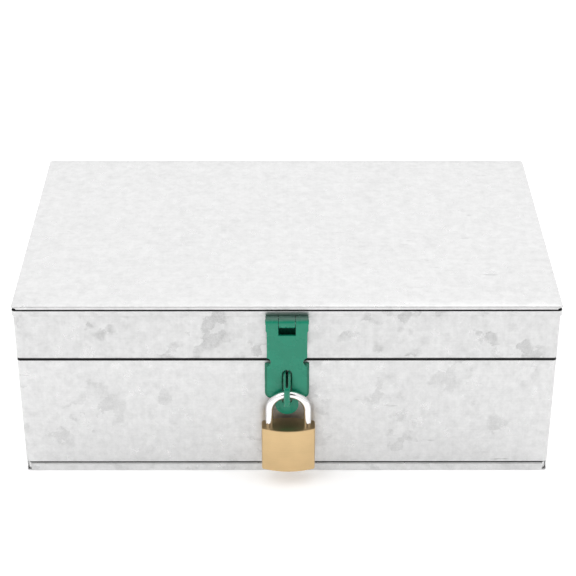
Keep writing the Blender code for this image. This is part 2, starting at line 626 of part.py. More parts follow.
def build_lock_body(brass):
    """Solid brass case, drilled for the legs, the plug, the bolt, the tumbler stacks and two cross pins."""
    origin = (LOCK_X, LOCK_Y, LOCK_TOP)
    shape = prism([(x, y, LOCK_BOTTOM) for x, y in lock_plan()], (0, 0, LOCK_HEIGHT))
    sides = [e for e in shape.edges if abs(e.verts[0].co.z - e.verts[1].co.z) > LOCK_HEIGHT / 2]
    sharp = [e for e in sides if abs(abs(e.verts[0].co.x - LOCK_X) - LOCK_WIDTH / 2) < 0.01 * MM]
    bmesh.ops.bevel(shape, geom=sharp, offset=0.9 * MM, segments=3, profile=0.5, affect="EDGES", material=-1)
    rims = [e for e in shape.edges if abs(e.verts[0].co.z - e.verts[1].co.z) < 0.01 * MM]
    bmesh.ops.bevel(shape, geom=rims, offset=LOCK_EDGE, segments=2, profile=0.5, affect="EDGES", material=-1)
    case = add_object("padlock_body", shape, brass, origin)

    bore = SHACKLE_RADIUS + LEG_CLEARANCE
    toe_depth = TOE_LENGTH + 0.8 * MM
    heel_depth = HEEL_LENGTH + 3.6 * MM
    combine(case, rod((TOE_X, LOCK_Y, LOCK_TOP - toe_depth), (0, 0, 1), toe_depth + 1 * MM, bore, 24))
    combine(case, rod((HEEL_X, LOCK_Y, LOCK_TOP - heel_depth), (0, 0, 1), heel_depth + 1 * MM, bore, 24))
    plug_hole = PLUG_RADIUS + PLUG_CLEARANCE
    below = LOCK_BOTTOM - 1 * MM
    combine(case, rod((LOCK_X, LOCK_Y, below), (0, 0, 1), PLUG_TOP + 1 * MM - below, plug_hole, 32))
    chamber = LOCK_TOP - CHAMBER_ROOF - PLUG_TOP - 0.1 * MM
    combine(case, rod((LOCK_X, LOCK_Y, PLUG_TOP + 0.1 * MM), (0, 0, 1), chamber, CHAMBER_RADIUS, 32))
    nose_bore = BOLT_RADIUS + LEG_CLEARANCE
    combine(case, rod((LOCK_X, LOCK_Y, BOLT_Z), (1, 0, 0), TOE_X - LOCK_X, nose_bore, 16))
    for z in stack_heights():
        length = LOCK_WIDTH / 2 + 1 * MM
        combine(case, rod((LOCK_X, LOCK_Y, z), (1, 0, 0), length, STACK_RADIUS + STACK_CLEARANCE, 12))
    for x, z in retainers().values():
        combine(case, rod((x, LOCK_Y - 3.5 * MM, z), (0, 1, 0), 12 * MM, RETAINER_RADIUS + 0.1 * MM, 12))


def stack_heights():
    return [LOCK_BOTTOM + FIRST_STACK + STACK_PITCH * number for number in range(STACKS)]


def retainers():
    """Cross pins as {name: (x, z)}: one runs in the plug's groove, the other in the heel's flat."""
    plug_x = LOCK_X - PLUG_RADIUS + RETAINER_BITE - RETAINER_RADIUS
    heel_x = HEEL_X + SHACKLE_RADIUS - RETAINER_BITE + RETAINER_RADIUS
    return {
        "plug_retainer": (plug_x, LOCK_BOTTOM + PLUG_GROOVE_RISE),
        "shackle_retainer": (heel_x, LOCK_TOP - HEEL_RETAINER_DROP),
    }


def build_lock_fixings(brass, steel):
    """What stays with the case: cross pins, heel spring, driver pins, their springs and chamber plugs."""
    for name, (x, z) in retainers().items():
        add_object(name, rod((x, LOCK_Y - 3.2 * MM, z), (0, 1, 0), 8.2 * MM, RETAINER_RADIUS, 12), steel)
    floor = LOCK_TOP - HEEL_LENGTH - 3.6 * MM
    spring = coil((HEEL_X, LOCK_Y, floor + 0.2 * MM), (0, 0, 1), 3.1 * MM, 1.5 * MM, 0.25 * MM, 5, 10)
    add_object("shackle_spring", spring, steel, (HEEL_X, LOCK_Y, floor))
    shear = LOCK_X + PLUG_RADIUS + PLUG_CLEARANCE
    face = LOCK_X + LOCK_WIDTH / 2 - 0.1 * MM
    for number, z in enumerate(stack_heights(), 1):
        profile = [(0, STACK_RADIUS * 0.8), (0.2 * MM, STACK_RADIUS)]
        profile += [(DRIVER_LENGTH - 0.2 * MM, STACK_RADIUS), (DRIVER_LENGTH, STACK_RADIUS * 0.8)]
        driver = turned(profile, (shear, LOCK_Y, z), (1, 0, 0), 10)
        add_object(f"driver_pin_{number}", driver, steel)
        plug = rod((face - STACK_PLUG, LOCK_Y, z), (1, 0, 0), STACK_PLUG, STACK_RADIUS + 0.02 * MM, 10)
        add_object(f"chamber_plug_{number}", plug, brass)
        start = shear + DRIVER_LENGTH + 0.15 * MM
        room = face - STACK_PLUG - 0.15 * MM - start
        spring = coil((start, LOCK_Y, z), (1, 0, 0), room, 0.7 * MM, SPRING_WIRE, 5, 8, 4)
        add_object(f"pin_spring_{number}", spring, steel)


def build_plug(brass, steel):
    """The keyed cylinder, its key pins lifted to the shear line, and the cam that it turns.

    The lock is modelled just unlocked: the stub is behind the axis, and a quarter turn throws the bolt.
    """
    origin = (LOCK_X, LOCK_Y, LOCK_BOTTOM)
    base = LOCK_BOTTOM + 0.1 * MM
    groove_z = LOCK_BOTTOM + PLUG_GROOVE_RISE
    groove = PLUG_RADIUS - RETAINER_BITE - 0.15 * MM
    half = RETAINER_RADIUS + 0.15 * MM
    length = PLUG_TOP - base
    profile = [(0, PLUG_RADIUS - 0.2 * MM), (0.2 * MM, PLUG_RADIUS), (groove_z - half - base, PLUG_RADIUS)]
    profile += [(groove_z - half - base, groove), (groove_z + half - base, groove)]
    profile += [(groove_z + half - base, PLUG_RADIUS), (length, PLUG_RADIUS)]
    plug = add_object("key_plug", turned(profile, (LOCK_X, LOCK_Y, base), (0, 0, 1), 32), brass, origin)
    keyway = (LOCK_X - KEYWAY_HEIGHT * 0.62, LOCK_Y - KEYWAY_WIDTH / 2, base - 1 * MM)
    corner = (LOCK_X + KEYWAY_HEIGHT * 0.38, LOCK_Y + KEYWAY_WIDTH / 2, PLUG_TOP - TANG_DEPTH - 1 * MM)
    combine(plug, block(keyway, corner))
    room = 0.15 * MM
    half = TANG_WIDTH / 2 + room
    low = (LOCK_X - PLUG_RADIUS - 1 * MM, LOCK_Y - half, PLUG_TOP - TANG_DEPTH - room)
    combine(plug, block(low, (LOCK_X + PLUG_RADIUS + 1 * MM, LOCK_Y + half, PLUG_TOP + 1 * MM)))
    key_side = LOCK_X + KEYWAY_HEIGHT * 0.38
    for number, z in enumerate(stack_heights(), 1):
        length = PLUG_RADIUS + 1 * MM
        combine(plug, rod((LOCK_X, LOCK_Y, z), (1, 0, 0), length, STACK_RADIUS + STACK_CLEARANCE, 12))
        tip = key_side - 0.9 * MM
        reach = LOCK_X + PLUG_RADIUS - 0.06 * MM - tip
        profile = [(0, STACK_RADIUS * 0.35), (0.55 * MM, STACK_RADIUS), (reach, STACK_RADIUS)]
        add_object(f"key_pin_{number}", turned(profile, (tip, LOCK_Y, z), (1, 0, 0), 10), brass, origin)

    deck = PLUG_TOP + 0.2 * MM
    stub_top = BOLT_Z + BOLT_TAIL / 2 + 0.3 * MM
    disc = rod((LOCK_X, LOCK_Y, deck), (0, 0, 1), CAM_THICKNESS, CAM_RADIUS, 28)
    cam = add_object("lock_cam", disc, steel, origin)
    stub_base = (LOCK_X, LOCK_Y + THROW, deck + 0.5 * MM)
    combine(cam, rod(stub_base, (0, 0, 1), stub_top - stub_base[2], STUB_RADIUS, 14), "UNION")
    low = (LOCK_X - CAM_RADIUS * 0.85, LOCK_Y - TANG_WIDTH / 2, PLUG_TOP - TANG_DEPTH)
    combine(cam, block(low, (LOCK_X + CAM_RADIUS * 0.85, LOCK_Y + TANG_WIDTH / 2, deck + 0.5 * MM)), "UNION")


def build_bolt(steel):
    """The sliding bolt, drawn back: a round nose, and a slotted tail round the cam's stub."""
    half_x = STUB_RADIUS + STUB_CLEARANCE + BOLT_WALL
    low_y = -STUB_RADIUS - STUB_CLEARANCE - BOLT_WALL
    high_y = THROW + STUB_RADIUS + STUB_CLEARANCE + BOLT_WALL
    tip = TOE_X - SHACKLE_RADIUS + BOLT_BITE - THROW
    start = LOCK_X + STUB_RADIUS + STUB_CLEARANCE + 0.2 * MM
    nose = [(0, BOLT_RADIUS), (tip - start - 0.3 * MM, BOLT_RADIUS), (tip - start, BOLT_RADIUS - 0.3 * MM)]
    shape = turned(nose, (start, LOCK_Y, BOLT_Z), (1, 0, 0), 16)
    bolt = add_object("locking_bolt", shape, steel, (LOCK_X, LOCK_Y, BOLT_Z))
    low = (LOCK_X - half_x, LOCK_Y + low_y, BOLT_Z - BOLT_TAIL / 2)
    combine(bolt, block(low, (LOCK_X + half_x, LOCK_Y + high_y, BOLT_Z + BOLT_TAIL / 2)), "UNION")
    slot = STUB_RADIUS + STUB_CLEARANCE
    low = (LOCK_X - slot, LOCK_Y - slot, BOLT_Z - 3 * MM)
    combine(bolt, block(low, (LOCK_X + slot, LOCK_Y + THROW + slot, BOLT_Z + 3 * MM)))


def main():
    clear_scene()
    zinc = make_material("galvanised_sheet", (0.78, 0.79, 0.80), 0.42, 0.85)
    steel = make_material("zinc_plated_steel", (0.70, 0.71, 0.72), 0.35, 0.9)
    green = make_material("green_enamel", (0.03, 0.30, 0.17), 0.28, 0.0)
    brass = make_material("brushed_brass", (0.80, 0.60, 0.30), 0.3, 1.0)
    chrome = make_material("chromed_steel", (0.88, 0.88, 0.89), 0.08, 1.0)
    walls = build_body(zinc)
    lid_walls = build_lid(zinc)
    for side in ("left", "right"):
        build_hinge(side, walls, lid_walls, steel)
    build_hasp_leaf(lid_walls, green, steel)
    build_strap(green)
    build_staple(walls, green, steel)
    build_shackle(chrome)
    build_lock_body(brass)
    build_lock_fixings(brass, steel)
    build_plug(brass, steel)
    build_bolt(steel)


main()
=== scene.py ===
"""Galvanised collection box with a green safety hasp and a brass padlock."""

import json
import math

import bmesh
import bpy
from mathutils import Matrix, Vector, noise

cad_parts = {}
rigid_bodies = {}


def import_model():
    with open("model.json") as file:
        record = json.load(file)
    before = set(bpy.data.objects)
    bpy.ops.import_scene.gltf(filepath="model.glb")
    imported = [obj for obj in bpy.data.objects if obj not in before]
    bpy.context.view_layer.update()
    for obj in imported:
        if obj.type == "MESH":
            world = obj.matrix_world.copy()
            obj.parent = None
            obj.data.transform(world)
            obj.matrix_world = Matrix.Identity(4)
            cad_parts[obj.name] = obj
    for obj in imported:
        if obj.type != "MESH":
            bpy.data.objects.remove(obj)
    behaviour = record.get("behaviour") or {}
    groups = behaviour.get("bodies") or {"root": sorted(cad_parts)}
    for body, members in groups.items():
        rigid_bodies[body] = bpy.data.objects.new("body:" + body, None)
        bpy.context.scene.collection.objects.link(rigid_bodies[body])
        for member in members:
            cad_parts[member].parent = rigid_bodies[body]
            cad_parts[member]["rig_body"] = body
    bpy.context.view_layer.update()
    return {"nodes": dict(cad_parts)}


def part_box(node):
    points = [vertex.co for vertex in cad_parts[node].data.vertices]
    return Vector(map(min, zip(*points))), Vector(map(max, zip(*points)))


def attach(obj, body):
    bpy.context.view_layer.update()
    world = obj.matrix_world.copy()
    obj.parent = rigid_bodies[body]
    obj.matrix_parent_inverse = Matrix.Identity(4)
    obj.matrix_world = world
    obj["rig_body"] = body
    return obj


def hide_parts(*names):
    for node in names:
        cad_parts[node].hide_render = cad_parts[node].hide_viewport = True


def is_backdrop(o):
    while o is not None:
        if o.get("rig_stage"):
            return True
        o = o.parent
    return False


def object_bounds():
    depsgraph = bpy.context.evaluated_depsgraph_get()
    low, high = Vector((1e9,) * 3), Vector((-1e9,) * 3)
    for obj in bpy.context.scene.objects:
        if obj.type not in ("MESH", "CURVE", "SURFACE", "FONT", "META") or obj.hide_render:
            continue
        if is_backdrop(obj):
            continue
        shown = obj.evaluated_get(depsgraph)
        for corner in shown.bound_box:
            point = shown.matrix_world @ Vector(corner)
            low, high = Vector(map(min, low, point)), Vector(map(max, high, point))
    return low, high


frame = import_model()
MM = 0.001


# ---------------------------------------------------------------------------------------------
# The view: a long lens in front of the box and above it, on a white sweep in a light tent whose dark
# opening is round the lens. One large softbox stands to the front left, and one hangs overhead.
CAMERA_PLACE = (-0.0022, -0.8685, 0.5784)
CAMERA_DROP = math.radians(30.36)
CAMERA_SWING = math.radians(-0.20)
CAMERA_ROLL = math.radians(0.08)
camera_data = bpy.data.cameras.new("camera")
camera_data.lens = 104.15
camera_data.clip_start = 0.02
camera = bpy.data.objects.new("camera", camera_data)
bpy.context.scene.collection.objects.link(camera)
aim = Matrix.Rotation(CAMERA_SWING, 4, "Z") @ Matrix.Rotation(math.pi / 2 - CAMERA_DROP, 4, "X")
camera.matrix_world = Matrix.Translation(CAMERA_PLACE) @ aim @ Matrix.Rotation(CAMERA_ROLL, 4, "Z")
bpy.context.scene.camera = camera
bpy.context.scene.view_settings.view_transform = "Standard"

world = bpy.data.worlds.new("tent")
world.use_nodes = True
sky = world.node_tree
sky.nodes["Background"].inputs["Strength"].default_value = 1.0
direction = sky.nodes.new("ShaderNodeTexCoord")
towards = sky.nodes.new("ShaderNodeVectorMath")
towards.operation = "DOT_PRODUCT"
towards.inputs[1].default_value = (0.0, -0.85, 0.53)  # the way to the opening from the box
sky.links.new(direction.outputs["Generated"], towards.inputs[0])
opening = sky.nodes.new("ShaderNodeValToRGB")
opening.color_ramp.elements[0].position = 0.90
opening.color_ramp.elements[0].color = (1.0, 1.0, 1.0, 1)
opening.color_ramp.elements[1].position = 0.945
opening.color_ramp.elements[1].color = (0.06, 0.05, 0.05, 1)
sky.links.new(towards.outputs["Value"], opening.inputs["Fac"])
sky.links.new(opening.outputs["Color"], sky.nodes["Background"].inputs["Color"])
bpy.context.scene.world = world

for light_name, place, size, power in (
    ("key_softbox", (-0.75, -0.85, 1.35), 1.0, 4.0),
    ("top_softbox", (0.30, 0.25, 1.60), 1.2, 3.5),
):
    softbox = bpy.data.lights.new(light_name, "AREA")
    softbox.shape = "SQUARE"
    softbox.size = size
    softbox.energy = power
    lamp = bpy.data.objects.new(light_name, softbox)
    lamp.location = place
    lamp.rotation_euler = (-Vector(place)).to_track_quat("-Z", "Y").to_euler()
    bpy.context.scene.collection.objects.link(lamp)

floor_shape = bmesh.new()
bmesh.ops.create_circle(floor_shape, cap_ends=True, segments=96, radius=4.0)
floor_mesh = bpy.data.meshes.new("floor")
floor_shape.to_mesh(floor_mesh)
floor_shape.free()
floor = bpy.data.objects.new("floor", floor_mesh)
bpy.context.scene.collection.objects.link(floor)
paper = bpy.data.materials.new("white_paper")
paper.use_nodes = True
paper_inputs = paper.node_tree.nodes["Principled BSDF"].inputs
paper_inputs["Base Color"].default_value = (0.95, 0.95, 0.95, 1)
paper_inputs["Roughness"].default_value = 0.9
paper_inputs["Emission Color"].default_value = (1, 1, 1, 1)
paper_inputs["Emission Strength"].default_value = 0.30
floor_mesh.materials.append(paper)
floor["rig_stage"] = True


# ---------------------------------------------------------------------------------------------
def add_node(tree, kind, settings=(), values=()):
    """A shader node with its settings and its unlinked inputs filled in."""
    made = tree.nodes.new(kind)
    for key, value in settings:
        setattr(made, key, value)
    for key, value in values:
        made.inputs[key].default_value = value
    return made


def noise_texture(tree, scale, detail, rough):
    """A noise texture, whose vector is linked by the caller."""
    values = (("Scale", scale), ("Detail", detail), ("Roughness", rough))
    return add_node(tree, "ShaderNodeTexNoise", values=values)


def galvanised(name, tone, patches, seed, scuffs=0.06, painted_shade_bands=(), painted_shade_side=None):
    """Zinc with ragged crystals of slightly different grey, mottling and scuffs, with painted shade in the
    seams.

    bands are dark lines painted as shade at the joints and on the folds, as (height, half width, strength).
    painted_shade_side is how far out the folds at the two ends lie; beyond it the zinc is darkened by half, as
    painted shade.
    """
    material = bpy.data.materials.new(name)
    material.use_nodes = True
    tree = material.node_tree
    link = tree.links.new
    shader = tree.nodes["Principled BSDF"]
    shader.inputs["Metallic"].default_value = 0.84
    place = add_node(tree, "ShaderNodeTexCoord")
    moved = (seed * 0.37, seed * 0.19, seed * 0.11)
    shift = add_node(tree, "ShaderNodeMapping", values=(("Location", moved),))
    link(place.outputs["Object"], shift.inputs["Vector"])

    def grain(scale, detail, rough, stretch=None, turned=0.0):
        source = shift.outputs["Vector"]
        if stretch:
            squeeze = add_node(
                tree, "ShaderNodeMapping", values=(("Scale", stretch), ("Rotation", (0, turned, turned)))
            )
            link(source, squeeze.inputs["Vector"])
            source = squeeze.outputs["Vector"]
        made = noise_texture(tree, scale, detail, rough)
        link(source, made.inputs["Vector"])
        return made.outputs["Fac"]

    def window(source, low, high, bottom=0.0, top=1.0):
        made = add_node(
            tree,
            "ShaderNodeMapRange",
            values=(("From Min", low), ("From Max", high), ("To Min", bottom), ("To Max", top)),
        )
        link(source, made.inputs["Value"])
        return made.outputs["Result"]

    def combine(operation, first, second):
        made = add_node(tree, "ShaderNodeMath", (("operation", operation),))
        for slot, value in ((0, first), (1, second)):
            if isinstance(value, (int, float)):
                made.inputs[slot].default_value = value
            else:
                link(value, made.inputs[slot])
        return made.outputs["Value"]

    # Crystals: cells with frayed borders, in two sizes
    fray = noise_texture(tree, 300.0, 5.0, 0.7)
    link(shift.outputs["Vector"], fray.inputs["Vector"])
    pull = add_node(tree, "ShaderNodeVectorMath", (("operation", "SCALE"),), (("Scale", 0.0075),))
    link(fray.outputs["Color"], pull.inputs[0])
    bent = add_node(tree, "ShaderNodeVectorMath", (("operation", "ADD"),))
    link(shift.outputs["Vector"], bent.inputs[0])
    link(pull.outputs["Vector"], bent.inputs[1])
    cells = []
    for scale in (150.0, 460.0):
        crystals = add_node(tree, "ShaderNodeTexVoronoi", values=(("Scale", scale), ("Randomness", 1.0)))
        link(bent.outputs["Vector"], crystals.inputs["Vector"])
        split = add_node(tree, "ShaderNodeSeparateColor")
        link(crystals.outputs["Color"], split.inputs["Color"])
        cells.append(split)
    large, small = cells

    # Darker crystals gather here and there, and their grain is coarser
    cloud = grain(34.0, 3.0, 0.6)
    hatch = grain(1400.0, 3.0, 0.7)
    gather = window(cloud, 0.545, 0.60)
    patch = combine("MULTIPLY", window(large.outputs["Red"], 0.52, 0.60), gather)
    patch = combine("MULTIPLY", patch, window(hatch, 0.35, 0.65, 0.45, 1.15))

    # Mottling, streaks of rolling and short scuffs
    mottle = grain(190.0, 7.0, 0.72)
    rolled = grain(1.0, 3.0, 0.7, (16.0, 800.0, 800.0))
    upright = grain(1.0, 3.0, 0.7, (700.0, 22.0, 22.0))
    scuff = grain(1.0, 4.0, 0.55, (55.0, 330.0, 330.0), 0.05)
    scratch = grain(1.0, 5.0, 0.6, (90.0, 620.0, 620.0), 0.6)
    value = window(large.outputs["Green"], 0.0, 1.0, tone * 0.985, tone * 1.012)
    value = combine("ADD", value, window(small.outputs["Green"], 0.0, 1.0, -0.014, 0.012))
    value = combine("ADD", value, window(mottle, 0.30, 0.62, -0.075, 0.02))
    value = combine("ADD", value, window(rolled, 0.3, 0.7, -0.012, 0.012))
    value = combine("ADD", value, window(upright, 0.3, 0.7, -0.010, 0.010))
    value = combine("SUBTRACT", value, combine("MULTIPLY", patch, patches))
    value = combine("SUBTRACT", value, window(scuff, 0.70, 0.78, 0.0, scuffs * 3.0))
    value = combine("SUBTRACT", value, window(scratch, 0.73, 0.80, 0.0, scuffs * 2.4))

    # Painted shade: dark lines along the seams and folds, with slightly ragged borders, and the folds at the
    # two ends darkened by half
    axes = add_node(tree, "ShaderNodeSeparateXYZ")
    link(place.outputs["Object"], axes.inputs["Vector"])
    ragged = combine("ADD", axes.outputs["Z"], window(mottle, 0.0, 1.0, -0.00008, 0.00008))
    for centre, half_width, strength in painted_shade_bands:
        near = add_node(tree, "ShaderNodeMath", (("operation", "COMPARE"),), ((1, centre), (2, half_width)))
        link(ragged, near.inputs[0])
        left = combine("SUBTRACT", 1.0, combine("MULTIPLY", near.outputs["Value"], strength))
        value = combine("MULTIPLY", value, left)
    if painted_shade_side is not None:
        beyond = combine("GREATER_THAN", combine("ABSOLUTE", axes.outputs["X"], 0.0), painted_shade_side)
        left = combine("SUBTRACT", 1.0, combine("MULTIPLY", beyond, 0.5))
        value = combine("MULTIPLY", value, left)
    value = combine("MINIMUM", combine("MAXIMUM", value, 0.0), 1.0)
    colour = add_node(tree, "ShaderNodeCombineColor")
    for channel in ("Red", "Green", "Blue"):
        link(value, colour.inputs[channel])
    link(colour.outputs["Color"], shader.inputs["Base Color"])

    gloss = window(large.outputs["Blue"], 0.0, 1.0, 0.27, 0.40)
    link(combine("ADD", gloss, window(mottle, 0.3, 0.7, 0.05, -0.03)), shader.inputs["Roughness"])
    height = window(large.outputs["Green"], 0, 1, 0, 0.4)
    height = combine("ADD", height, window(mottle, 0, 1, 0, 1.2))
    height = combine("ADD", height, window(rolled, 0, 1, 0, 0.4))
    relief = add_node(tree, "ShaderNodeBump", values=(("Strength", 0.25), ("Distance", 0.00006)))
    link(height, relief.inputs["Height"])
    link(relief.outputs["Normal"], shader.inputs["Normal"])
    return material


def rounded_loop(width, depth, radius, inset, z):
    """A flat face in the box's plan shape: a rectangle with rounded corners."""
    shape = bmesh.new()
    bmesh.ops.create_grid(shape, x_segments=1, y_segments=1, size=0.5)
    bmesh.ops.scale(shape, vec=(width - 2 * inset, depth - 2 * inset, 1), verts=shape.verts)
    bmesh.ops.translate(shape, vec=(0, 0, z), verts=shape.verts)
    bmesh.ops.bevel(
        shape,
        geom=shape.verts[:],
        offset=radius,
        segments=6,
        profile=0.5,
        affect="VERTICES",
        material=-1,
    )
    return shape


def fold(shape, edges, section):
    """Carries a loop of edges through a section of (inset, height) points, as on a folding brake."""
    for (old_inset, old_z), (inset, z) in zip(section, section[1:]):
        made = bmesh.ops.extrude_edge_only(shape, edges=edges)["geom"]
        corners = [item for item in made if isinstance(item, bmesh.types.BMVert)]
        edges = [item for item in made if isinstance(item, bmesh.types.BMEdge)]
        for corner in corners:
            corner.co.x -= (inset - old_inset) * math.copysign(1, corner.co.x)
            corner.co.y -= (inset - old_inset) * math.copysign(1, corner.co.y)
            corner.co.z += z - old_z
    return edges


def slice_up(shape, axis, positions):
    """Cuts the skin across at each position along an axis, so that a long panel can bow."""
    for position in positions:
        point = Vector((0, 0, 0))
        point[axis] = position
        direction = Vector((0, 0, 0))
        direction[axis] = 1
        parts = shape.verts[:] + shape.edges[:] + shape.faces[:]
        bmesh.ops.bisect_plane(shape, geom=parts, dist=1e-7, plane_co=point, plane_no=direction)


SMOOTH_UP_TO = math.radians(32)
ROUND_FROM = math.radians(34)


def finish_piece(name, shape, material, body, node, bevel=0.0, segments=2):
    """Makes the object, rounds its edges and puts it on its body."""
    bmesh.ops.recalc_face_normals(shape, faces=shape.faces)
    mesh = bpy.data.meshes.new(name)
    shape.to_mesh(mesh)
    shape.free()
    mesh.shade_smooth()
    mesh.set_sharp_from_angle(angle=SMOOTH_UP_TO)
    mesh.materials.append(material)
    piece = bpy.data.objects.new(name, mesh)
    bpy.context.scene.collection.objects.link(piece)
    if bevel:
        rounding = piece.modifiers.new("rounded_edges", "BEVEL")
        rounding.width = bevel
        rounding.segments = segments
        rounding.limit_method = "ANGLE"
        rounding.angle_limit = ROUND_FROM
        rounding.harden_normals = True
    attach(piece, body)
    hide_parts(node)


def evenly(extent, pieces):
    """Places of the cuts that divide an extent about the middle into equal pieces."""
    return [extent * (step / pieces - 0.5) for step in range(1, pieces)]


def oil_can(shape, half_x, half_y, low, high, depth, seed):
    """Lets the walls sink in by less than a third of a millimetre, as thin sheet does between its folds."""
    for corner in shape.verts:
        x, y, z = corner.co
        rise = min(max((z - low) / (high - low), 0), 1)
        still = (4 * rise * (1 - rise)) ** 0.5
        wave = 0.5 + 0.5 * noise.noise(Vector((x * 16 + seed, y * 16, z * 22)))
        if abs(y) > half_y - 3 * MM and abs(x) < half_x - 3 * MM:
            ends = min(1, (half_x - abs(x)) / (20 * MM))
            corner.co.y -= math.copysign(depth * wave * still * ends, y)
        elif abs(x) > half_x - 3 * MM and abs(y) < half_y - 3 * MM:
            ends = min(1, (half_y - abs(y)) / (20 * MM))
            corner.co.x -= math.copysign(depth * wave * still * ends, x)


SHEET = 0.6 * MM
CORNER = 2.0 * MM
walls_low, walls_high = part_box("body_walls")
pan_low, pan_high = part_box("bottom_pan")
lid_low, lid_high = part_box("lid_walls")
width = walls_high.x - walls_low.x
depth = walls_high.y - walls_low.y
seam = lid_low.z
shoulder = seam - 0.8 * MM
joggle = pan_high.z + 0.3 * MM
collar = 1.7 * MM
foot = SHEET + 0.3 * MM

# Body: four walls bent from one hot-dip galvanised sheet. They step in at the foot, where the pan
# wraps round them, and again above the shoulder, where the lid closes over a collar.
# Painted shade: a near-black line just under the lid's edge at the shoulder, and one where the wall steps in
# above the pan. The tone is set lower than the top sheet's as painted shade, since the upright walls are lit
# less than the top.
body_shade_bands = ((shoulder + 0.05 * MM, 0.60 * MM, 0.92), (joggle - 0.15 * MM, 0.55 * MM, 0.90))
body_zinc = galvanised("zinc_body", 0.66, 0.085, 1, painted_shade_bands=body_shade_bands)
body_shape = rounded_loop(width, depth, CORNER, foot, walls_low.z)
bmesh.ops.delete(body_shape, geom=body_shape.faces[:], context="FACES_ONLY")
start_edges = body_shape.edges[:]
section = [(foot, walls_low.z), (foot, joggle), (0.1 * MM, joggle + 0.5 * MM), (0, joggle + 0.8 * MM)]
section += [(0, shoulder - 0.5 * MM), (0.12 * MM, shoulder - 0.15 * MM), (0.4 * MM, shoulder)]
section += [(collar, shoulder + 0.2 * MM), (collar, walls_high.z), (collar + SHEET, walls_high.z)]
section += [(collar + SHEET, shoulder - SHEET), (SHEET, shoulder - 1.0 * MM), (SHEET, joggle + 0.9 * MM)]
section += [(foot + SHEET, joggle + 0.2 * MM), (foot + SHEET, walls_low.z)]
end_edges = fold(body_shape, start_edges, section)
bmesh.ops.bridge_loops(body_shape, edges=start_edges + end_edges)
slice_up(body_shape, 0, evenly(width, 30))
slice_up(body_shape, 1, evenly(depth, 18))
slice_up(body_shape, 2, [joggle + (shoulder - joggle) * step / 8 for step in range(1, 8)])
oil_can(body_shape, width / 2, depth / 2, joggle + 1 * MM, shoulder - 1 * MM, 0.28 * MM, 3.1)
finish_piece("body_shell", body_shape, body_zinc, "box", "body_walls", 0.1 * MM)


# ---------------------------------------------------------------------------------------------
# Bottom pan: a sheet with its four edges turned up round the foot of the walls. Each edge has a
# rolled rim and stops short of the corner, where the sheet is notched.
# Painted shade: a grey line along the top of the pan's rolled rim.
pan_zinc = galvanised("zinc_pan", 0.68, 0.08, 2, painted_shade_bands=((pan_high.z - 0.2 * MM, 1.0 * MM, 0.28),))
pan_shape = rounded_loop(width, depth, 1.2 * MM, SHEET, SHEET)
rim = pan_high.z
section = [(SHEET, SHEET), (SHEET, rim - 0.2 * MM), (SHEET - 0.15 * MM, rim), (0.2 * MM, rim)]
section += [(0, rim - 0.25 * MM), (0, 1.0 * MM), (0.12 * MM, 0.45 * MM), (0.45 * MM, 0.1 * MM), (0.9 * MM, 0)]
last = fold(pan_shape, pan_shape.edges[:], section)
bmesh.ops.contextual_create(pan_shape, geom=last)
slice_up(pan_shape, 0, evenly(width, 12))
slice_up(pan_shape, 1, evenly(depth, 8))


def carve(shape, cutters):
    """Cuts other shapes from a shape and returns what is left as a new one."""
    bmesh.ops.recalc_face_normals(shape, faces=shape.faces)
    mesh = bpy.data.meshes.new("blank")
    shape.to_mesh(mesh)
    shape.free()
    blank = bpy.data.objects.new("blank", mesh)
    bpy.context.scene.collection.objects.link(blank)
    tools = []
    for cutter in cutters:
        bmesh.ops.recalc_face_normals(cutter, faces=cutter.faces)
        tool_mesh = bpy.data.meshes.new("cutter")
        cutter.to_mesh(tool_mesh)
        cutter.free()
        tool = bpy.data.objects.new("cutter", tool_mesh)
        bpy.context.scene.collection.objects.link(tool)
        tools.append(tool)
        cut = blank.modifiers.new("cut", "BOOLEAN")
        cut.operation = "DIFFERENCE"
        cut.solver = "EXACT"
        cut.object = tool
    bpy.context.view_layer.update()
    done = blank.evaluated_get(bpy.context.evaluated_depsgraph_get()).to_mesh()
    result = bmesh.new()
    result.from_mesh(done)
    for thing in [blank] + tools:
        spare = thing.data
        bpy.data.objects.remove(thing)
        bpy.data.meshes.remove(spare)
    return result


def block(low, high):
    """A rectangular cutter between two opposite corners."""
    shape = bmesh.new()
    bmesh.ops.create_cube(shape, size=1)
    bmesh.ops.scale(shape, vec=Vector(high) - Vector(low), verts=shape.verts)
    bmesh.ops.translate(shape, vec=(Vector(high) + Vector(low)) / 2, verts=shape.verts)
    return shape


def corner_notches(half_x, half_y, low_z, high_z):
    """Cutters that take the turned edges away at the four corners."""
    cutters = []
    for x in (-half_x, half_x):
        for y in (-half_y, half_y):
            cutters.append(block((x - NOTCH, y - NOTCH, low_z), (x + NOTCH, y + NOTCH, high_z)))
    return cutters


NOTCH = 2.6 * MM
pan_shape = carve(pan_shape, corner_notches(width / 2, depth / 2, 1.0 * MM, rim + 1 * MM))
finish_piece("pan", pan_shape, pan_zinc, "box", "bottom_pan", 0.08 * MM)


# ---------------------------------------------------------------------------------------------
# Lid walls: one sheet bent round like the body's, with a hem inside the lower edge and a folded
# band below the top, which the lid's top sheet is seamed to.
band_proud = lid_high.x - width / 2
lip_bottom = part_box("lid_top")[0].z
band_top = lip_bottom - 0.6 * MM
band_bottom = band_top - 3.6 * MM
hem = seam + 3 * MM
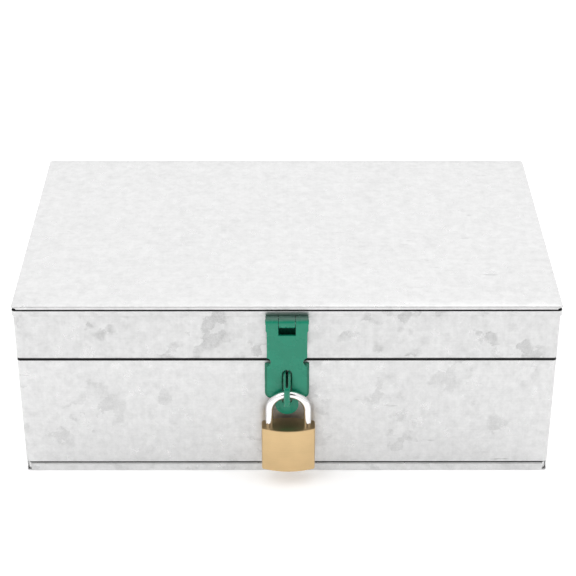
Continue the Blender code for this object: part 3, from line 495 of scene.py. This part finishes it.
# Painted shade: a dark line along the lid's lower edge, and one in the gap under the top sheet's lip. The tone
# is set lower than the top sheet's as painted shade on the upright walls.
lid_shade_bands = ((seam, 0.48 * MM, 0.85), (lip_bottom - 0.3 * MM, 0.5 * MM, 0.95))
lid_zinc = galvanised("zinc_lid", 0.635, 0.15, 5, painted_shade_bands=lid_shade_bands)
lid_shape = rounded_loop(width, depth, CORNER, 0, seam)
bmesh.ops.delete(lid_shape, geom=lid_shape.faces[:], context="FACES_ONLY")
start_edges = lid_shape.edges[:]
section = [(0, seam), (0, band_bottom), (-0.75 * band_proud, band_bottom + 0.1 * MM)]
section += [(-band_proud, band_bottom + 0.4 * MM), (-band_proud, band_top - 0.3 * MM)]
section += [(-0.6 * band_proud, band_top), (0.3 * MM, band_top), (0.3 * MM, lid_high.z)]
section += [(0.3 * MM + SHEET, lid_high.z), (0.3 * MM + SHEET, band_top - SHEET)]
section += [(SHEET, band_top - 2 * SHEET), (SHEET, hem + 0.3 * MM), (2 * SHEET - 0.1 * MM, hem)]
section += [(2 * SHEET, hem - 0.3 * MM), (2 * SHEET, seam)]
end_edges = fold(lid_shape, start_edges, section)
bmesh.ops.bridge_loops(lid_shape, edges=start_edges + end_edges)
slice_up(lid_shape, 0, evenly(width, 30))
slice_up(lid_shape, 1, evenly(depth, 18))
slice_up(lid_shape, 2, [seam + 1 * MM + (band_bottom - seam - 2 * MM) * step / 5 for step in range(6)])
oil_can(lid_shape, width / 2, depth / 2, seam + 0.5 * MM, band_bottom, 0.2 * MM, 8.4)
finish_piece("lid_rim", lid_shape, lid_zinc, "lid", "lid_walls", 0.1 * MM)


# ---------------------------------------------------------------------------------------------
# Lid top: a flat sheet with its edges turned down over the band. It sags a little in the middle,
# and its turned edges stop at the corners.
top_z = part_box("lid_top")[1].z
# Painted shade: the turned-down lip is dimmed, with a dark line in the gap under it and a faint one on the
# rounded edge above it; the folds at the two ends are darkened by half. The tone is set higher than the walls'
# as painted light on the face turned up.
top_shade_bands = (((lip_bottom + top_z) / 2 - 0.2 * MM, 0.95 * MM, 0.22), (lip_bottom, 0.30 * MM, 0.75))
top_shade_bands += ((top_z - 0.5 * MM, 0.2 * MM, 0.05),)
side_fold = width / 2 + band_proud - 0.25 * MM
top_zinc = galvanised("zinc_top", 0.845, 0.03, 9, 0.10, painted_shade_bands=top_shade_bands, painted_shade_side=side_fold)
inner = SHEET - band_proud
top_shape = rounded_loop(width, depth, 1.4 * MM, inner, top_z - SHEET)
section = [(inner, top_z - SHEET), (inner, lip_bottom + 0.1 * MM), (inner - 0.1 * MM, lip_bottom)]
section += [(-band_proud + 0.1 * MM, lip_bottom), (-band_proud, lip_bottom + 0.12 * MM)]
section += [(-band_proud, top_z - 0.75 * MM), (0.06 * MM - band_proud, top_z - 0.4 * MM)]
section += [(0.25 * MM - band_proud, top_z - 0.12 * MM), (0.6 * MM - band_proud, top_z)]
last = fold(top_shape, top_shape.edges[:], section)
bmesh.ops.contextual_create(top_shape, geom=last)
slice_up(top_shape, 0, evenly(width, 40))
slice_up(top_shape, 1, evenly(depth, 24))
for corner in top_shape.verts:
    x, y, z = corner.co
    inside = min(width / 2 - abs(x), depth / 2 - abs(y)) / (26 * MM)
    if inside > 0 and z > lip_bottom + 1 * MM:
        wave = 0.5 + 0.5 * noise.noise(Vector((x * 12, y * 15, 4.2)))
        corner.co.z -= 0.35 * MM * wave * min(1, inside)
half_x, half_y = width / 2 + band_proud, depth / 2 + band_proud
top_shape = carve(top_shape, corner_notches(half_x, half_y, lip_bottom - 1 * MM, top_z - SHEET - 0.4 * MM))
finish_piece("lid_panel", top_shape, top_zinc, "lid", "lid_top", 0.08 * MM)


# ---------------------------------------------------------------------------------------------
# Rear hinges: leaves pressed from plated strip and curled round a pin, each riveted on twice.
# The rivets of the hasp are the same kind.
def plated(name, tone, roughness):
    """Bright zinc plating, a little uneven and rubbed."""
    material = bpy.data.materials.new(name)
    material.use_nodes = True
    tree = material.node_tree
    shader = tree.nodes["Principled BSDF"]
    shader.inputs["Metallic"].default_value = 1.0
    place = add_node(tree, "ShaderNodeTexCoord")
    haze = noise_texture(tree, 260.0, 5.0, 0.6)
    tree.links.new(place.outputs["Object"], haze.inputs["Vector"])
    shade = add_node(tree, "ShaderNodeValToRGB")
    shade.color_ramp.elements[0].position = 0.3
    shade.color_ramp.elements[0].color = (tone * 0.86, tone * 0.86, tone * 0.85, 1)
    shade.color_ramp.elements[1].position = 0.7
    shade.color_ramp.elements[1].color = (tone * 1.02, tone * 1.03, tone * 1.05, 1)
    tree.links.new(haze.outputs["Fac"], shade.inputs["Fac"])
    tree.links.new(shade.outputs["Color"], shader.inputs["Base Color"])
    rub = add_node(
        tree, "ShaderNodeMapRange", values=(("To Min", roughness * 0.75), ("To Max", roughness * 1.3))
    )
    tree.links.new(haze.outputs["Fac"], rub.inputs["Value"])
    tree.links.new(rub.outputs["Result"], shader.inputs["Roughness"])
    grain = add_node(tree, "ShaderNodeTexNoise", values=(("Scale", 1800.0), ("Detail", 2.0)))
    tree.links.new(place.outputs["Object"], grain.inputs["Vector"])
    relief = add_node(tree, "ShaderNodeBump", values=(("Strength", 0.2), ("Distance", 0.00003)))
    tree.links.new(grain.outputs["Fac"], relief.inputs["Height"])
    tree.links.new(relief.outputs["Normal"], shader.inputs["Normal"])
    return material


def dressed(name, node, material, bevel, segments=3):
    """A copy of a CAD solid, merged into clean panels, with its pressed edges rounded over."""
    shape = bmesh.new()
    shape.from_mesh(frame["nodes"][node].data)
    bmesh.ops.remove_doubles(shape, verts=shape.verts, dist=1e-6)
    bmesh.ops.dissolve_limit(
        shape,
        angle_limit=math.radians(0.6),
        verts=shape.verts,
        edges=shape.edges,
        use_dissolve_boundaries=False,
    )
    bmesh.ops.recalc_face_normals(shape, faces=shape.faces)
    corners = [edge for edge in shape.edges if edge.calc_face_angle(0) > ROUND_FROM]
    pressed = shape.faces.layers.float.new("pressed_edge")
    rounded = bmesh.ops.bevel(
        shape,
        geom=corners,
        offset=bevel,
        segments=segments,
        profile=0.5,
        affect="EDGES",
        clamp_overlap=True,
        material=-1,
    )["faces"]
    for face in rounded:
        face[pressed] = 1.0
    finish_piece(name, shape, material, frame["nodes"][node]["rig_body"], node)


def spun(profile, base, direction, steps):
    """A turned piece. The profile lists (distance along, radius) and both its ends lie on the axis."""
    shape = bmesh.new()
    points = [shape.verts.new((radius, 0, along)) for along, radius in profile]
    edges = [shape.edges.new(pair) for pair in zip(points, points[1:])]
    bmesh.ops.spin(
        shape,
        geom=points + edges,
        cent=(0, 0, 0),
        axis=(0, 0, 1),
        angle=2 * math.pi,
        steps=steps,
        use_merge=True,
    )
    bmesh.ops.remove_doubles(shape, verts=shape.verts, dist=1e-6)
    turn_to = Vector(direction).to_track_quat("Z", "Y").to_matrix()
    bmesh.ops.rotate(shape, matrix=turn_to, verts=shape.verts)
    bmesh.ops.translate(shape, vec=base, verts=shape.verts)
    return shape


def hinge_pin(name, node, material, body, inner, outer, crown, steps):
    """A pin lying across the box. Each end is crowned: two shares of its radius, then its length."""
    low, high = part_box(node)
    centre = (low + high) / 2
    radius = (high.z - low.z) / 2
    length = high.x - low.x
    profile = [(0, 0), (0, radius * inner), (0.12 * MM, radius * outer), (crown, radius)]
    profile += [(length - step, r) for step, r in reversed(profile)]
    shape = spun(profile, (low.x, centre.y, centre.z), (1, 0, 0), steps)
    finish_piece(name, shape, material, body, node)


plate_steel = plated("plated_steel", 0.78, 0.30)
rivet_steel = plated("rivet_steel", 0.72, 0.34)
for side in ("left", "right"):
    for leaf in ("body", "lid"):
        node = f"hinge_{side}_{leaf}_leaf"
        dressed(f"hinge_{side}_{leaf}_plate", node, plate_steel, 0.22 * MM)
    name, node = f"hinge_{side}_pintle", f"hinge_{side}_pin"
    hinge_pin(name, node, rivet_steel, "box", 0.55, 0.85, 0.4 * MM, 28)

SHANK = 1.2 * MM
CROWN = 0.82 * MM
CROWN_STEPS = 8
for node in sorted(name for name in frame["nodes"] if "_rivet_" in name):
    low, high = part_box(node)
    centre = (low + high) / 2
    outwards = -1 if centre.y < 0 else 1
    radius = (high.x - low.x) / 2
    length = high.y - low.y
    base_y = low.y if outwards == 1 else high.y
    profile = [(0, 0), (0, radius * 0.62), (0.25 * MM, radius * 0.82), (0.7 * MM, radius * 0.84)]
    profile += [(0.72 * MM, SHANK), (length - 1.02 * MM, SHANK), (length - 1.0 * MM, radius * 0.97)]
    profile += [(length - CROWN, radius)]
    for step in range(1, CROWN_STEPS):
        angle = math.radians(90 * step / CROWN_STEPS)
        profile.append((length - CROWN + CROWN * math.sin(angle), radius * math.cos(angle)))
    profile.append((length, 0))
    rivet_shape = spun(profile, (centre.x, base_y, centre.z), (0, outwards, 0), 28)
    body = frame["nodes"][node]["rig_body"]
    finish_piece(f"{node}_dome", rivet_shape, rivet_steel, body, node)


# ---------------------------------------------------------------------------------------------
# Hasp: leaf, strap, pin, staple plate and folded staple, pressed from steel and enamelled green.
# The enamel is glossy with a slight orange peel, thinner and rubbed on the edges.
def mix_to(tree, amount, under, over):
    """The colour under, covered by the plain colour over as far as amount says."""
    blend = add_node(tree, "ShaderNodeMix", (("data_type", "RGBA"),), ((7, (*over, 1)),))
    tree.links.new(amount, blend.inputs[0])
    tree.links.new(under, blend.inputs[6])
    return blend.outputs[2]


def enamel(name, colour, seed, knuckle_shade_above=None, leaf_shade_below=None):
    """Stoved green enamel, thinner on the pressed edges, where small chips show the steel."""
    material = bpy.data.materials.new(name)
    material.use_nodes = True
    tree = material.node_tree
    link = tree.links.new
    shader = tree.nodes["Principled BSDF"]
    shader.inputs["Specular IOR Level"].default_value = 0.42
    place = add_node(tree, "ShaderNodeTexCoord")
    shift = add_node(tree, "ShaderNodeMapping", values=(("Location", (seed, seed * 0.7, seed * 0.3)),))
    link(place.outputs["Object"], shift.inputs["Vector"])
    pool = add_node(tree, "ShaderNodeTexNoise", values=(("Scale", 90.0), ("Detail", 4.0)))
    link(shift.outputs["Vector"], pool.inputs["Vector"])
    tint = add_node(tree, "ShaderNodeValToRGB")
    tint.color_ramp.elements[0].position = 0.3
    tint.color_ramp.elements[0].color = (*[c * 0.90 for c in colour], 1)
    tint.color_ramp.elements[1].position = 0.72
    tint.color_ramp.elements[1].color = (*[c * 1.06 for c in colour], 1)
    link(pool.outputs["Fac"], tint.inputs["Fac"])

    # Chips along the edges, a few specks on the faces, and a painted dark reflection on the tops of the
    # knuckles, where they face the lip
    chips = noise_texture(tree, 520.0, 6.0, 0.7)
    link(shift.outputs["Vector"], chips.inputs["Vector"])
    edge = add_node(tree, "ShaderNodeAttribute", (("attribute_name", "pressed_edge"),))
    needed = add_node(tree, "ShaderNodeMapRange", values=(("To Min", 0.74), ("To Max", 0.50)))
    link(edge.outputs["Fac"], needed.inputs["Value"])
    over = add_node(tree, "ShaderNodeMath", (("operation", "SUBTRACT"),))
    link(chips.outputs["Fac"], over.inputs[0])
    link(needed.outputs["Result"], over.inputs[1])
    chipped = add_node(tree, "ShaderNodeMapRange", values=(("From Max", 0.06), ("To Max", 0.75)))
    link(over.outputs["Value"], chipped.inputs["Value"])
    finished = mix_to(tree, chipped.outputs["Result"], tint.outputs["Color"], (0.42, 0.56, 0.50))
    axes = add_node(tree, "ShaderNodeSeparateXYZ")
    link(place.outputs["Object"], axes.inputs["Vector"])
    # Painted dark reflection: above this height the colour goes to a dark grey-green.
    if knuckle_shade_above is not None:
        near = add_node(
            tree,
            "ShaderNodeMapRange",
            values=(("From Min", knuckle_shade_above), ("From Max", knuckle_shade_above + 1.3 * MM), ("To Max", 0.85)),
        )
        link(axes.outputs["Z"], near.inputs["Value"])
        finished = mix_to(tree, near.outputs["Result"], finished, (0.055, 0.10, 0.082))
    # Painted shade: below this height the colour drops to a fifth, for the flat of the fixed leaf that lies in
    # shadow behind the strap.
    if leaf_shade_below is not None:
        below = add_node(tree, "ShaderNodeMath", (("operation", "LESS_THAN"),), ((1, leaf_shade_below),))
        link(axes.outputs["Z"], below.inputs[0])
        finished = mix_to(tree, below.outputs["Value"], finished, [c * 0.22 for c in colour])
    link(finished, shader.inputs["Base Color"])
    gloss = add_node(tree, "ShaderNodeMapRange", values=(("To Min", 0.20), ("To Max", 0.36)))
    link(pool.outputs["Fac"], gloss.inputs["Value"])
    link(gloss.outputs["Result"], shader.inputs["Roughness"])
    peel = add_node(tree, "ShaderNodeTexNoise", values=(("Scale", 900.0), ("Detail", 1.0)))
    link(place.outputs["Object"], peel.inputs["Vector"])
    relief = add_node(tree, "ShaderNodeBump", values=(("Strength", 0.25), ("Distance", 0.00005)))
    link(peel.outputs["Fac"], relief.inputs["Height"])
    link(relief.outputs["Normal"], shader.inputs["Normal"])
    return material


pin_low, pin_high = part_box("hasp_pin")
# The knuckle tops get a painted dark reflection above this height.
knuckle_shade_height = (pin_low.z + pin_high.z) / 2 + 1.7 * MM
STRAP_GREEN = (0.007, 0.232, 0.138)
green = enamel("green_enamel_strap", STRAP_GREEN, 2.0, knuckle_shade_height)
# The leaf's enamel is a copy of the strap's with painted shade below the pin.
green_leaf = enamel("green_enamel_leaf", STRAP_GREEN, 7.0, knuckle_shade_height, pin_low.z - 0.8 * MM)
green_plate = enamel("green_enamel_plate", (0.006, 0.215, 0.125), 5.0)
dressed("hasp_fixed_leaf", "hasp_leaf", green_leaf, 0.2 * MM)
dressed("hasp_swing_strap", "hasp_strap", green, 0.28 * MM)
dressed("staple_base", "staple_plate", green_plate, 0.22 * MM)
dressed("staple_fin", "staple", green_plate, 0.2 * MM)
hinge_pin("hasp_pintle", "hasp_pin", green, "hasp", 0.6, 0.88, 0.35 * MM, 32)


# ---------------------------------------------------------------------------------------------
# Shackle: a round bar of hardened steel bent to a bow, polished and chromed. The long heel leg is
# necked for its retaining pin, and the toe is notched for the bolt.
def chrome_plate():
    """Polished chrome with a few fine wipe marks round the bar."""
    material = bpy.data.materials.new("chrome_bow")
    material.use_nodes = True
    tree = material.node_tree
    shader = tree.nodes["Principled BSDF"]
    shader.inputs["Metallic"].default_value = 1.0
    shader.inputs["Base Color"].default_value = (0.86, 0.85, 0.85, 1)
    place = add_node(tree, "ShaderNodeTexCoord")
    wipe = add_node(tree, "ShaderNodeMapping", values=(("Scale", (500.0, 500.0, 2500.0)),))
    tree.links.new(place.outputs["Object"], wipe.inputs["Vector"])
    scuffs = noise_texture(tree, 1.0, 4.0, 0.7)
    tree.links.new(wipe.outputs["Vector"], scuffs.inputs["Vector"])
    gloss = add_node(tree, "ShaderNodeMapRange", values=(("To Min", 0.05), ("To Max", 0.16)))
    tree.links.new(scuffs.outputs["Fac"], gloss.inputs["Value"])
    tree.links.new(gloss.outputs["Result"], shader.inputs["Roughness"])
    relief = add_node(tree, "ShaderNodeBump", values=(("Strength", 0.12), ("Distance", 0.00002)))
    tree.links.new(scuffs.outputs["Fac"], relief.inputs["Height"])
    tree.links.new(relief.outputs["Normal"], shader.inputs["Normal"])
    return material


bow_low, bow_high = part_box("shackle")
case_low, case_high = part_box("padlock_body")
bow_y = (bow_low.y + bow_high.y) / 2
bar_radius = (bow_high.y - bow_low.y) / 2
arch = (bow_high.x - bow_low.x) / 2 - bar_radius
bow_x = (bow_low.x + bow_high.x) / 2
arch_z = bow_high.z - bar_radius - arch
toe_z = case_high.z - 7.5 * MM

bow_shape = bmesh.new()
ring = bmesh.ops.create_circle(bow_shape, cap_ends=True, segments=32, radius=bar_radius)["verts"]
bmesh.ops.translate(bow_shape, vec=(bow_x - arch, bow_y, bow_low.z), verts=ring)
end_face = bow_shape.faces[:]
made = bmesh.ops.extrude_face_region(bow_shape, geom=end_face)["geom"]
moved = [item for item in made if isinstance(item, bmesh.types.BMVert)]
bmesh.ops.translate(bow_shape, vec=(0, 0, arch_z - bow_low.z), verts=moved)
cap = [item for item in made if isinstance(item, bmesh.types.BMFace)]
made = bmesh.ops.spin(
    bow_shape,
    geom=cap,
    cent=(bow_x, bow_y, arch_z),
    axis=(0, 1, 0),
    angle=math.pi,
    steps=44,
)["geom_last"]
cap = [item for item in made if isinstance(item, bmesh.types.BMFace)]
made = bmesh.ops.extrude_face_region(bow_shape, geom=cap)["geom"]
moved = [item for item in made if isinstance(item, bmesh.types.BMVert)]
bmesh.ops.translate(bow_shape, vec=(0, 0, toe_z - arch_z), verts=moved)
inner_caps = [
    face
    for face in bow_shape.faces
    if len(face.verts) > 4 and abs(face.calc_center_median().z - arch_z) < 0.01 * MM
]
bmesh.ops.delete(bow_shape, geom=inner_caps, context="FACES_ONLY")
bolt_low, bolt_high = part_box("locking_bolt")
bolt_z = (bolt_low.z + bolt_high.z) / 2
toe_face = bow_x + arch - bar_radius
notch = block(
    (toe_face - 1 * MM, bow_y - 4 * MM, bolt_z - 1.7 * MM),
    (toe_face + 1.35 * MM, bow_y + 4 * MM, bolt_z + 1.7 * MM),
)
keeper_low, keeper_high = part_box("shackle_retainer")
heel_face = bow_x - arch + bar_radius
flat = block(
    (heel_face - 1.1 * MM, bow_y - 4 * MM, keeper_low.z - 8.3 * MM),
    (heel_face + 1 * MM, bow_y + 4 * MM, keeper_high.z + 0.3 * MM),
)
bow_shape = carve(bow_shape, [notch, flat])
finish_piece("shackle_bow", bow_shape, chrome_plate(), "shackle", "shackle", 0.3 * MM, 3)


# ---------------------------------------------------------------------------------------------
# Padlock case: extruded brass with two bulging faces, drilled from above for the bow's legs and
# from below for the key plug, the cam and the pins. The faces are brushed across.
def brass_case(name, tone, seed, top_shade_above=None):
    """Brass brushed across. Above a given height, on the sawn top end, it is rougher and its colour is darkened
    to six tenths as painted shade.
    """
    material = bpy.data.materials.new(name)
    material.use_nodes = True
    tree = material.node_tree
    link = tree.links.new
    shader = tree.nodes["Principled BSDF"]
    shader.inputs["Metallic"].default_value = 1.0
    shader.inputs["Anisotropic"].default_value = 0.35
    place = add_node(tree, "ShaderNodeTexCoord")
    stroke = (("Location", (seed, seed, seed)), ("Scale", (60.0, 60.0, 2600.0)))
    brush = add_node(tree, "ShaderNodeMapping", values=stroke)
    link(place.outputs["Object"], brush.inputs["Vector"])
    lines = noise_texture(tree, 1.0, 4.0, 0.65)
    link(brush.outputs["Vector"], lines.inputs["Vector"])
    cloud = add_node(tree, "ShaderNodeTexNoise", values=(("Scale", 110.0), ("Detail", 4.0)))
    link(place.outputs["Object"], cloud.inputs["Vector"])
    mixed = add_node(tree, "ShaderNodeMath", (("operation", "MULTIPLY_ADD"),), ((1, 0.6),))
    link(lines.outputs["Fac"], mixed.inputs[0])
    link(cloud.outputs["Fac"], mixed.inputs[2])
    shade = add_node(tree, "ShaderNodeValToRGB")
    shade.color_ramp.elements[0].position = 0.5
    shade.color_ramp.elements[0].color = (*[c * 0.93 for c in tone], 1)
    shade.color_ramp.elements[1].position = 1.0
    shade.color_ramp.elements[1].color = (*[c * 1.04 for c in tone], 1)
    link(mixed.outputs["Value"], shade.inputs["Fac"])
    finished = shade.outputs["Color"]
    gloss = add_node(tree, "ShaderNodeMapRange", values=(("To Min", 0.24), ("To Max", 0.38)))
    link(lines.outputs["Fac"], gloss.inputs["Value"])
    roughness = gloss.outputs["Result"]
    # Painted shade on the top end: its colour darkened to six tenths; its roughness raised as for a sawn face.
    if top_shade_above is not None:
        axes = add_node(tree, "ShaderNodeSeparateXYZ")
        link(place.outputs["Object"], axes.inputs["Vector"])
        top_face = add_node(tree, "ShaderNodeMath", (("operation", "GREATER_THAN"),), ((1, top_shade_above),))
        link(axes.outputs["Z"], top_face.inputs[0])
        finished = mix_to(tree, top_face.outputs["Value"], finished, [c * 0.60 for c in tone])
        coarse = add_node(tree, "ShaderNodeMath", (("operation", "MULTIPLY_ADD"),), ((1, 0.12),))
        link(top_face.outputs["Value"], coarse.inputs[0])
        link(roughness, coarse.inputs[2])
        roughness = coarse.outputs["Value"]
    link(finished, shader.inputs["Base Color"])
    link(roughness, shader.inputs["Roughness"])
    relief = add_node(tree, "ShaderNodeBump", values=(("Strength", 0.25), ("Distance", 0.00003)))
    link(lines.outputs["Fac"], relief.inputs["Height"])
    link(relief.outputs["Normal"], shader.inputs["Normal"])
    return material


# The case's top end gets painted shade from just below its top.
brass = brass_case("brass_case", (0.595, 0.425, 0.225), 0.0, case_high.z - 0.15 * MM)
case_width = case_high.x - case_low.x
case_depth = case_high.y - case_low.y
BULGE = 3.3 * MM
case_x = (case_low.x + case_high.x) / 2
case_y = (case_low.y + case_high.y) / 2
half = case_width / 2
sweep_radius = (half * half + BULGE * BULGE) / (2 * BULGE)
sweep = 2 * math.asin(half / sweep_radius)
case_shape = bmesh.new()
side_y = case_depth / 2 - BULGE
start = case_shape.verts.new((case_x - half, case_y - side_y, case_low.z))
bmesh.ops.spin(
    case_shape,
    geom=[start],
    cent=(case_x, case_y - case_depth / 2 + sweep_radius, case_low.z),
    axis=(0, 0, 1),
    angle=sweep,
    steps=36,
)
bmesh.ops.mirror(
    case_shape,
    geom=case_shape.verts[:] + case_shape.edges[:],
    matrix=Matrix.Translation((0, -case_y, 0)),
    merge_dist=0,
    axis="Y",
)
for end_x in (case_x - half, case_x + half):
    pair = [v for v in case_shape.verts if abs(v.co.x - end_x) < 0.02 * MM]
    case_shape.edges.new(pair)
bmesh.ops.contextual_create(case_shape, geom=case_shape.edges[:])
made = bmesh.ops.extrude_face_region(case_shape, geom=case_shape.faces[:])["geom"]
moved = [item for item in made if isinstance(item, bmesh.types.BMVert)]
bmesh.ops.translate(case_shape, vec=(0, 0, case_high.z - case_low.z), verts=moved)


def rise(edge):
    return abs(edge.verts[0].co.z - edge.verts[1].co.z)


upright_edges = [edge for edge in case_shape.edges if rise(edge) > 10 * MM]
sides = [edge for edge in upright_edges if abs(abs(edge.verts[0].co.x - case_x) - half) < 0.02 * MM]
bmesh.ops.bevel(case_shape, geom=sides, offset=0.9 * MM, segments=4, profile=0.5, affect="EDGES", material=-1)
rims = [edge for edge in case_shape.edges if rise(edge) < 0.01 * MM]
bmesh.ops.bevel(case_shape, geom=rims, offset=0.45 * MM, segments=3, profile=0.5, affect="EDGES", material=-1)


def upright_bore(radius, top_radius, length, centre, segments):
    """A cutter for a hole that goes straight down."""
    drill = bmesh.new()
    bmesh.ops.create_cone(
        drill,
        cap_ends=True,
        segments=segments,
        radius1=radius,
        radius2=top_radius,
        depth=length,
    )
    bmesh.ops.translate(drill, vec=centre, verts=drill.verts)
    return drill


def passage(radius, start, end):
    """A cutter for a drilled passage from start to end."""
    drill = bmesh.new()
    reach = Vector(end) - Vector(start)
    bmesh.ops.create_cone(drill, cap_ends=True, segments=28, radius1=radius, radius2=radius, depth=reach.length)
    bmesh.ops.rotate(drill, matrix=reach.to_track_quat("Z", "Y").to_matrix(), verts=drill.verts)
    bmesh.ops.translate(drill, vec=(Vector(start) + Vector(end)) / 2, verts=drill.verts)
    return drill


HEEL_BORE_DEPTH = 25.1 * MM
TOE_BORE_DEPTH = 8.3 * MM
CHAMBER = 4.6 * MM
leg_bore = bar_radius + 0.1 * MM
bores = []
for leg_x, bore_depth in ((bow_x - arch, HEEL_BORE_DEPTH), (bow_x + arch, TOE_BORE_DEPTH)):
    centre = (leg_x, bow_y, case_high.z + 0.5 * MM - bore_depth / 2)
    bores.append(upright_bore(leg_bore, leg_bore, bore_depth + 1 * MM, centre, 36))
    centre = (leg_x, bow_y, case_high.z - 0.18 * MM)
    bores.append(upright_bore(leg_bore, bar_radius + 0.5 * MM, 0.4 * MM, centre, 36))
plug_low, plug_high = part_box("key_plug")
plug_bore = (plug_high.x - plug_low.x) / 2 + 0.1 * MM
centre = (case_x, bow_y, (plug_low.z + plug_high.z) / 2 - 0.4 * MM)
bores.append(upright_bore(plug_bore, plug_bore, plug_high.z - plug_low.z + 2 * MM, centre, 40))

# Inside the case: the cam's chamber, the bolt's passage, and a bore for each stack of pins.
bolt_y = (bolt_low.y + bolt_high.y) / 2
bolt_bore = max(bolt_high.y - bolt_low.y, bolt_high.z - bolt_low.z) / 2 + 0.15 * MM
bores.append(passage(CHAMBER, (case_x, bow_y, plug_high.z - 0.8 * MM), (case_x, bow_y, bolt_high.z + 0.5 * MM)))
bores.append(passage(bolt_bore, (case_x, bolt_y, bolt_z), (toe_face + 2.2 * MM, bolt_y, bolt_z)))
for number in range(1, 5):
    driver_low, driver_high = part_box(f"driver_pin_{number}")
    end_low, end_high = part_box(f"chamber_plug_{number}")
    middle = (driver_low + driver_high) / 2
    stack_bore = (driver_high.z - driver_low.z) / 2 + 0.12 * MM
    outer_y = end_high.y if end_high.y > bow_y + 2 * MM else end_low.y
    bores.append(passage(stack_bore, (middle.x, bow_y, middle.z), (middle.x, outer_y, middle.z)))
case_shape = carve(case_shape, bores)
finish_piece("case", case_shape, brass, "lock_body", "padlock_body", 0.06 * MM)


# ---------------------------------------------------------------------------------------------
# Inside the case: the keyed plug, its pins and springs, the cam and the bolt. They keep the CAD
# shapes and get their own metals.
plug_brass = brass_case("brass_plug", (0.72, 0.50, 0.24), 3.0)
dressed("keyed_cylinder", "key_plug", plug_brass, 0.1 * MM, 2)
spring_steel = plated("spring_steel", 0.62, 0.28)
for node, cad in frame["nodes"].items():
    metal = None
    if node.startswith(("key_pin", "chamber_plug")):
        metal = plug_brass
    elif node.startswith(("driver_pin", "pin_spring")) or node.endswith("retainer"):
        metal = spring_steel
    elif node in ("shackle_spring", "lock_cam", "locking_bolt"):
        metal = spring_steel
    if metal:
        cad.data.materials.clear()
        cad.data.materials.append(metal)

low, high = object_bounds()
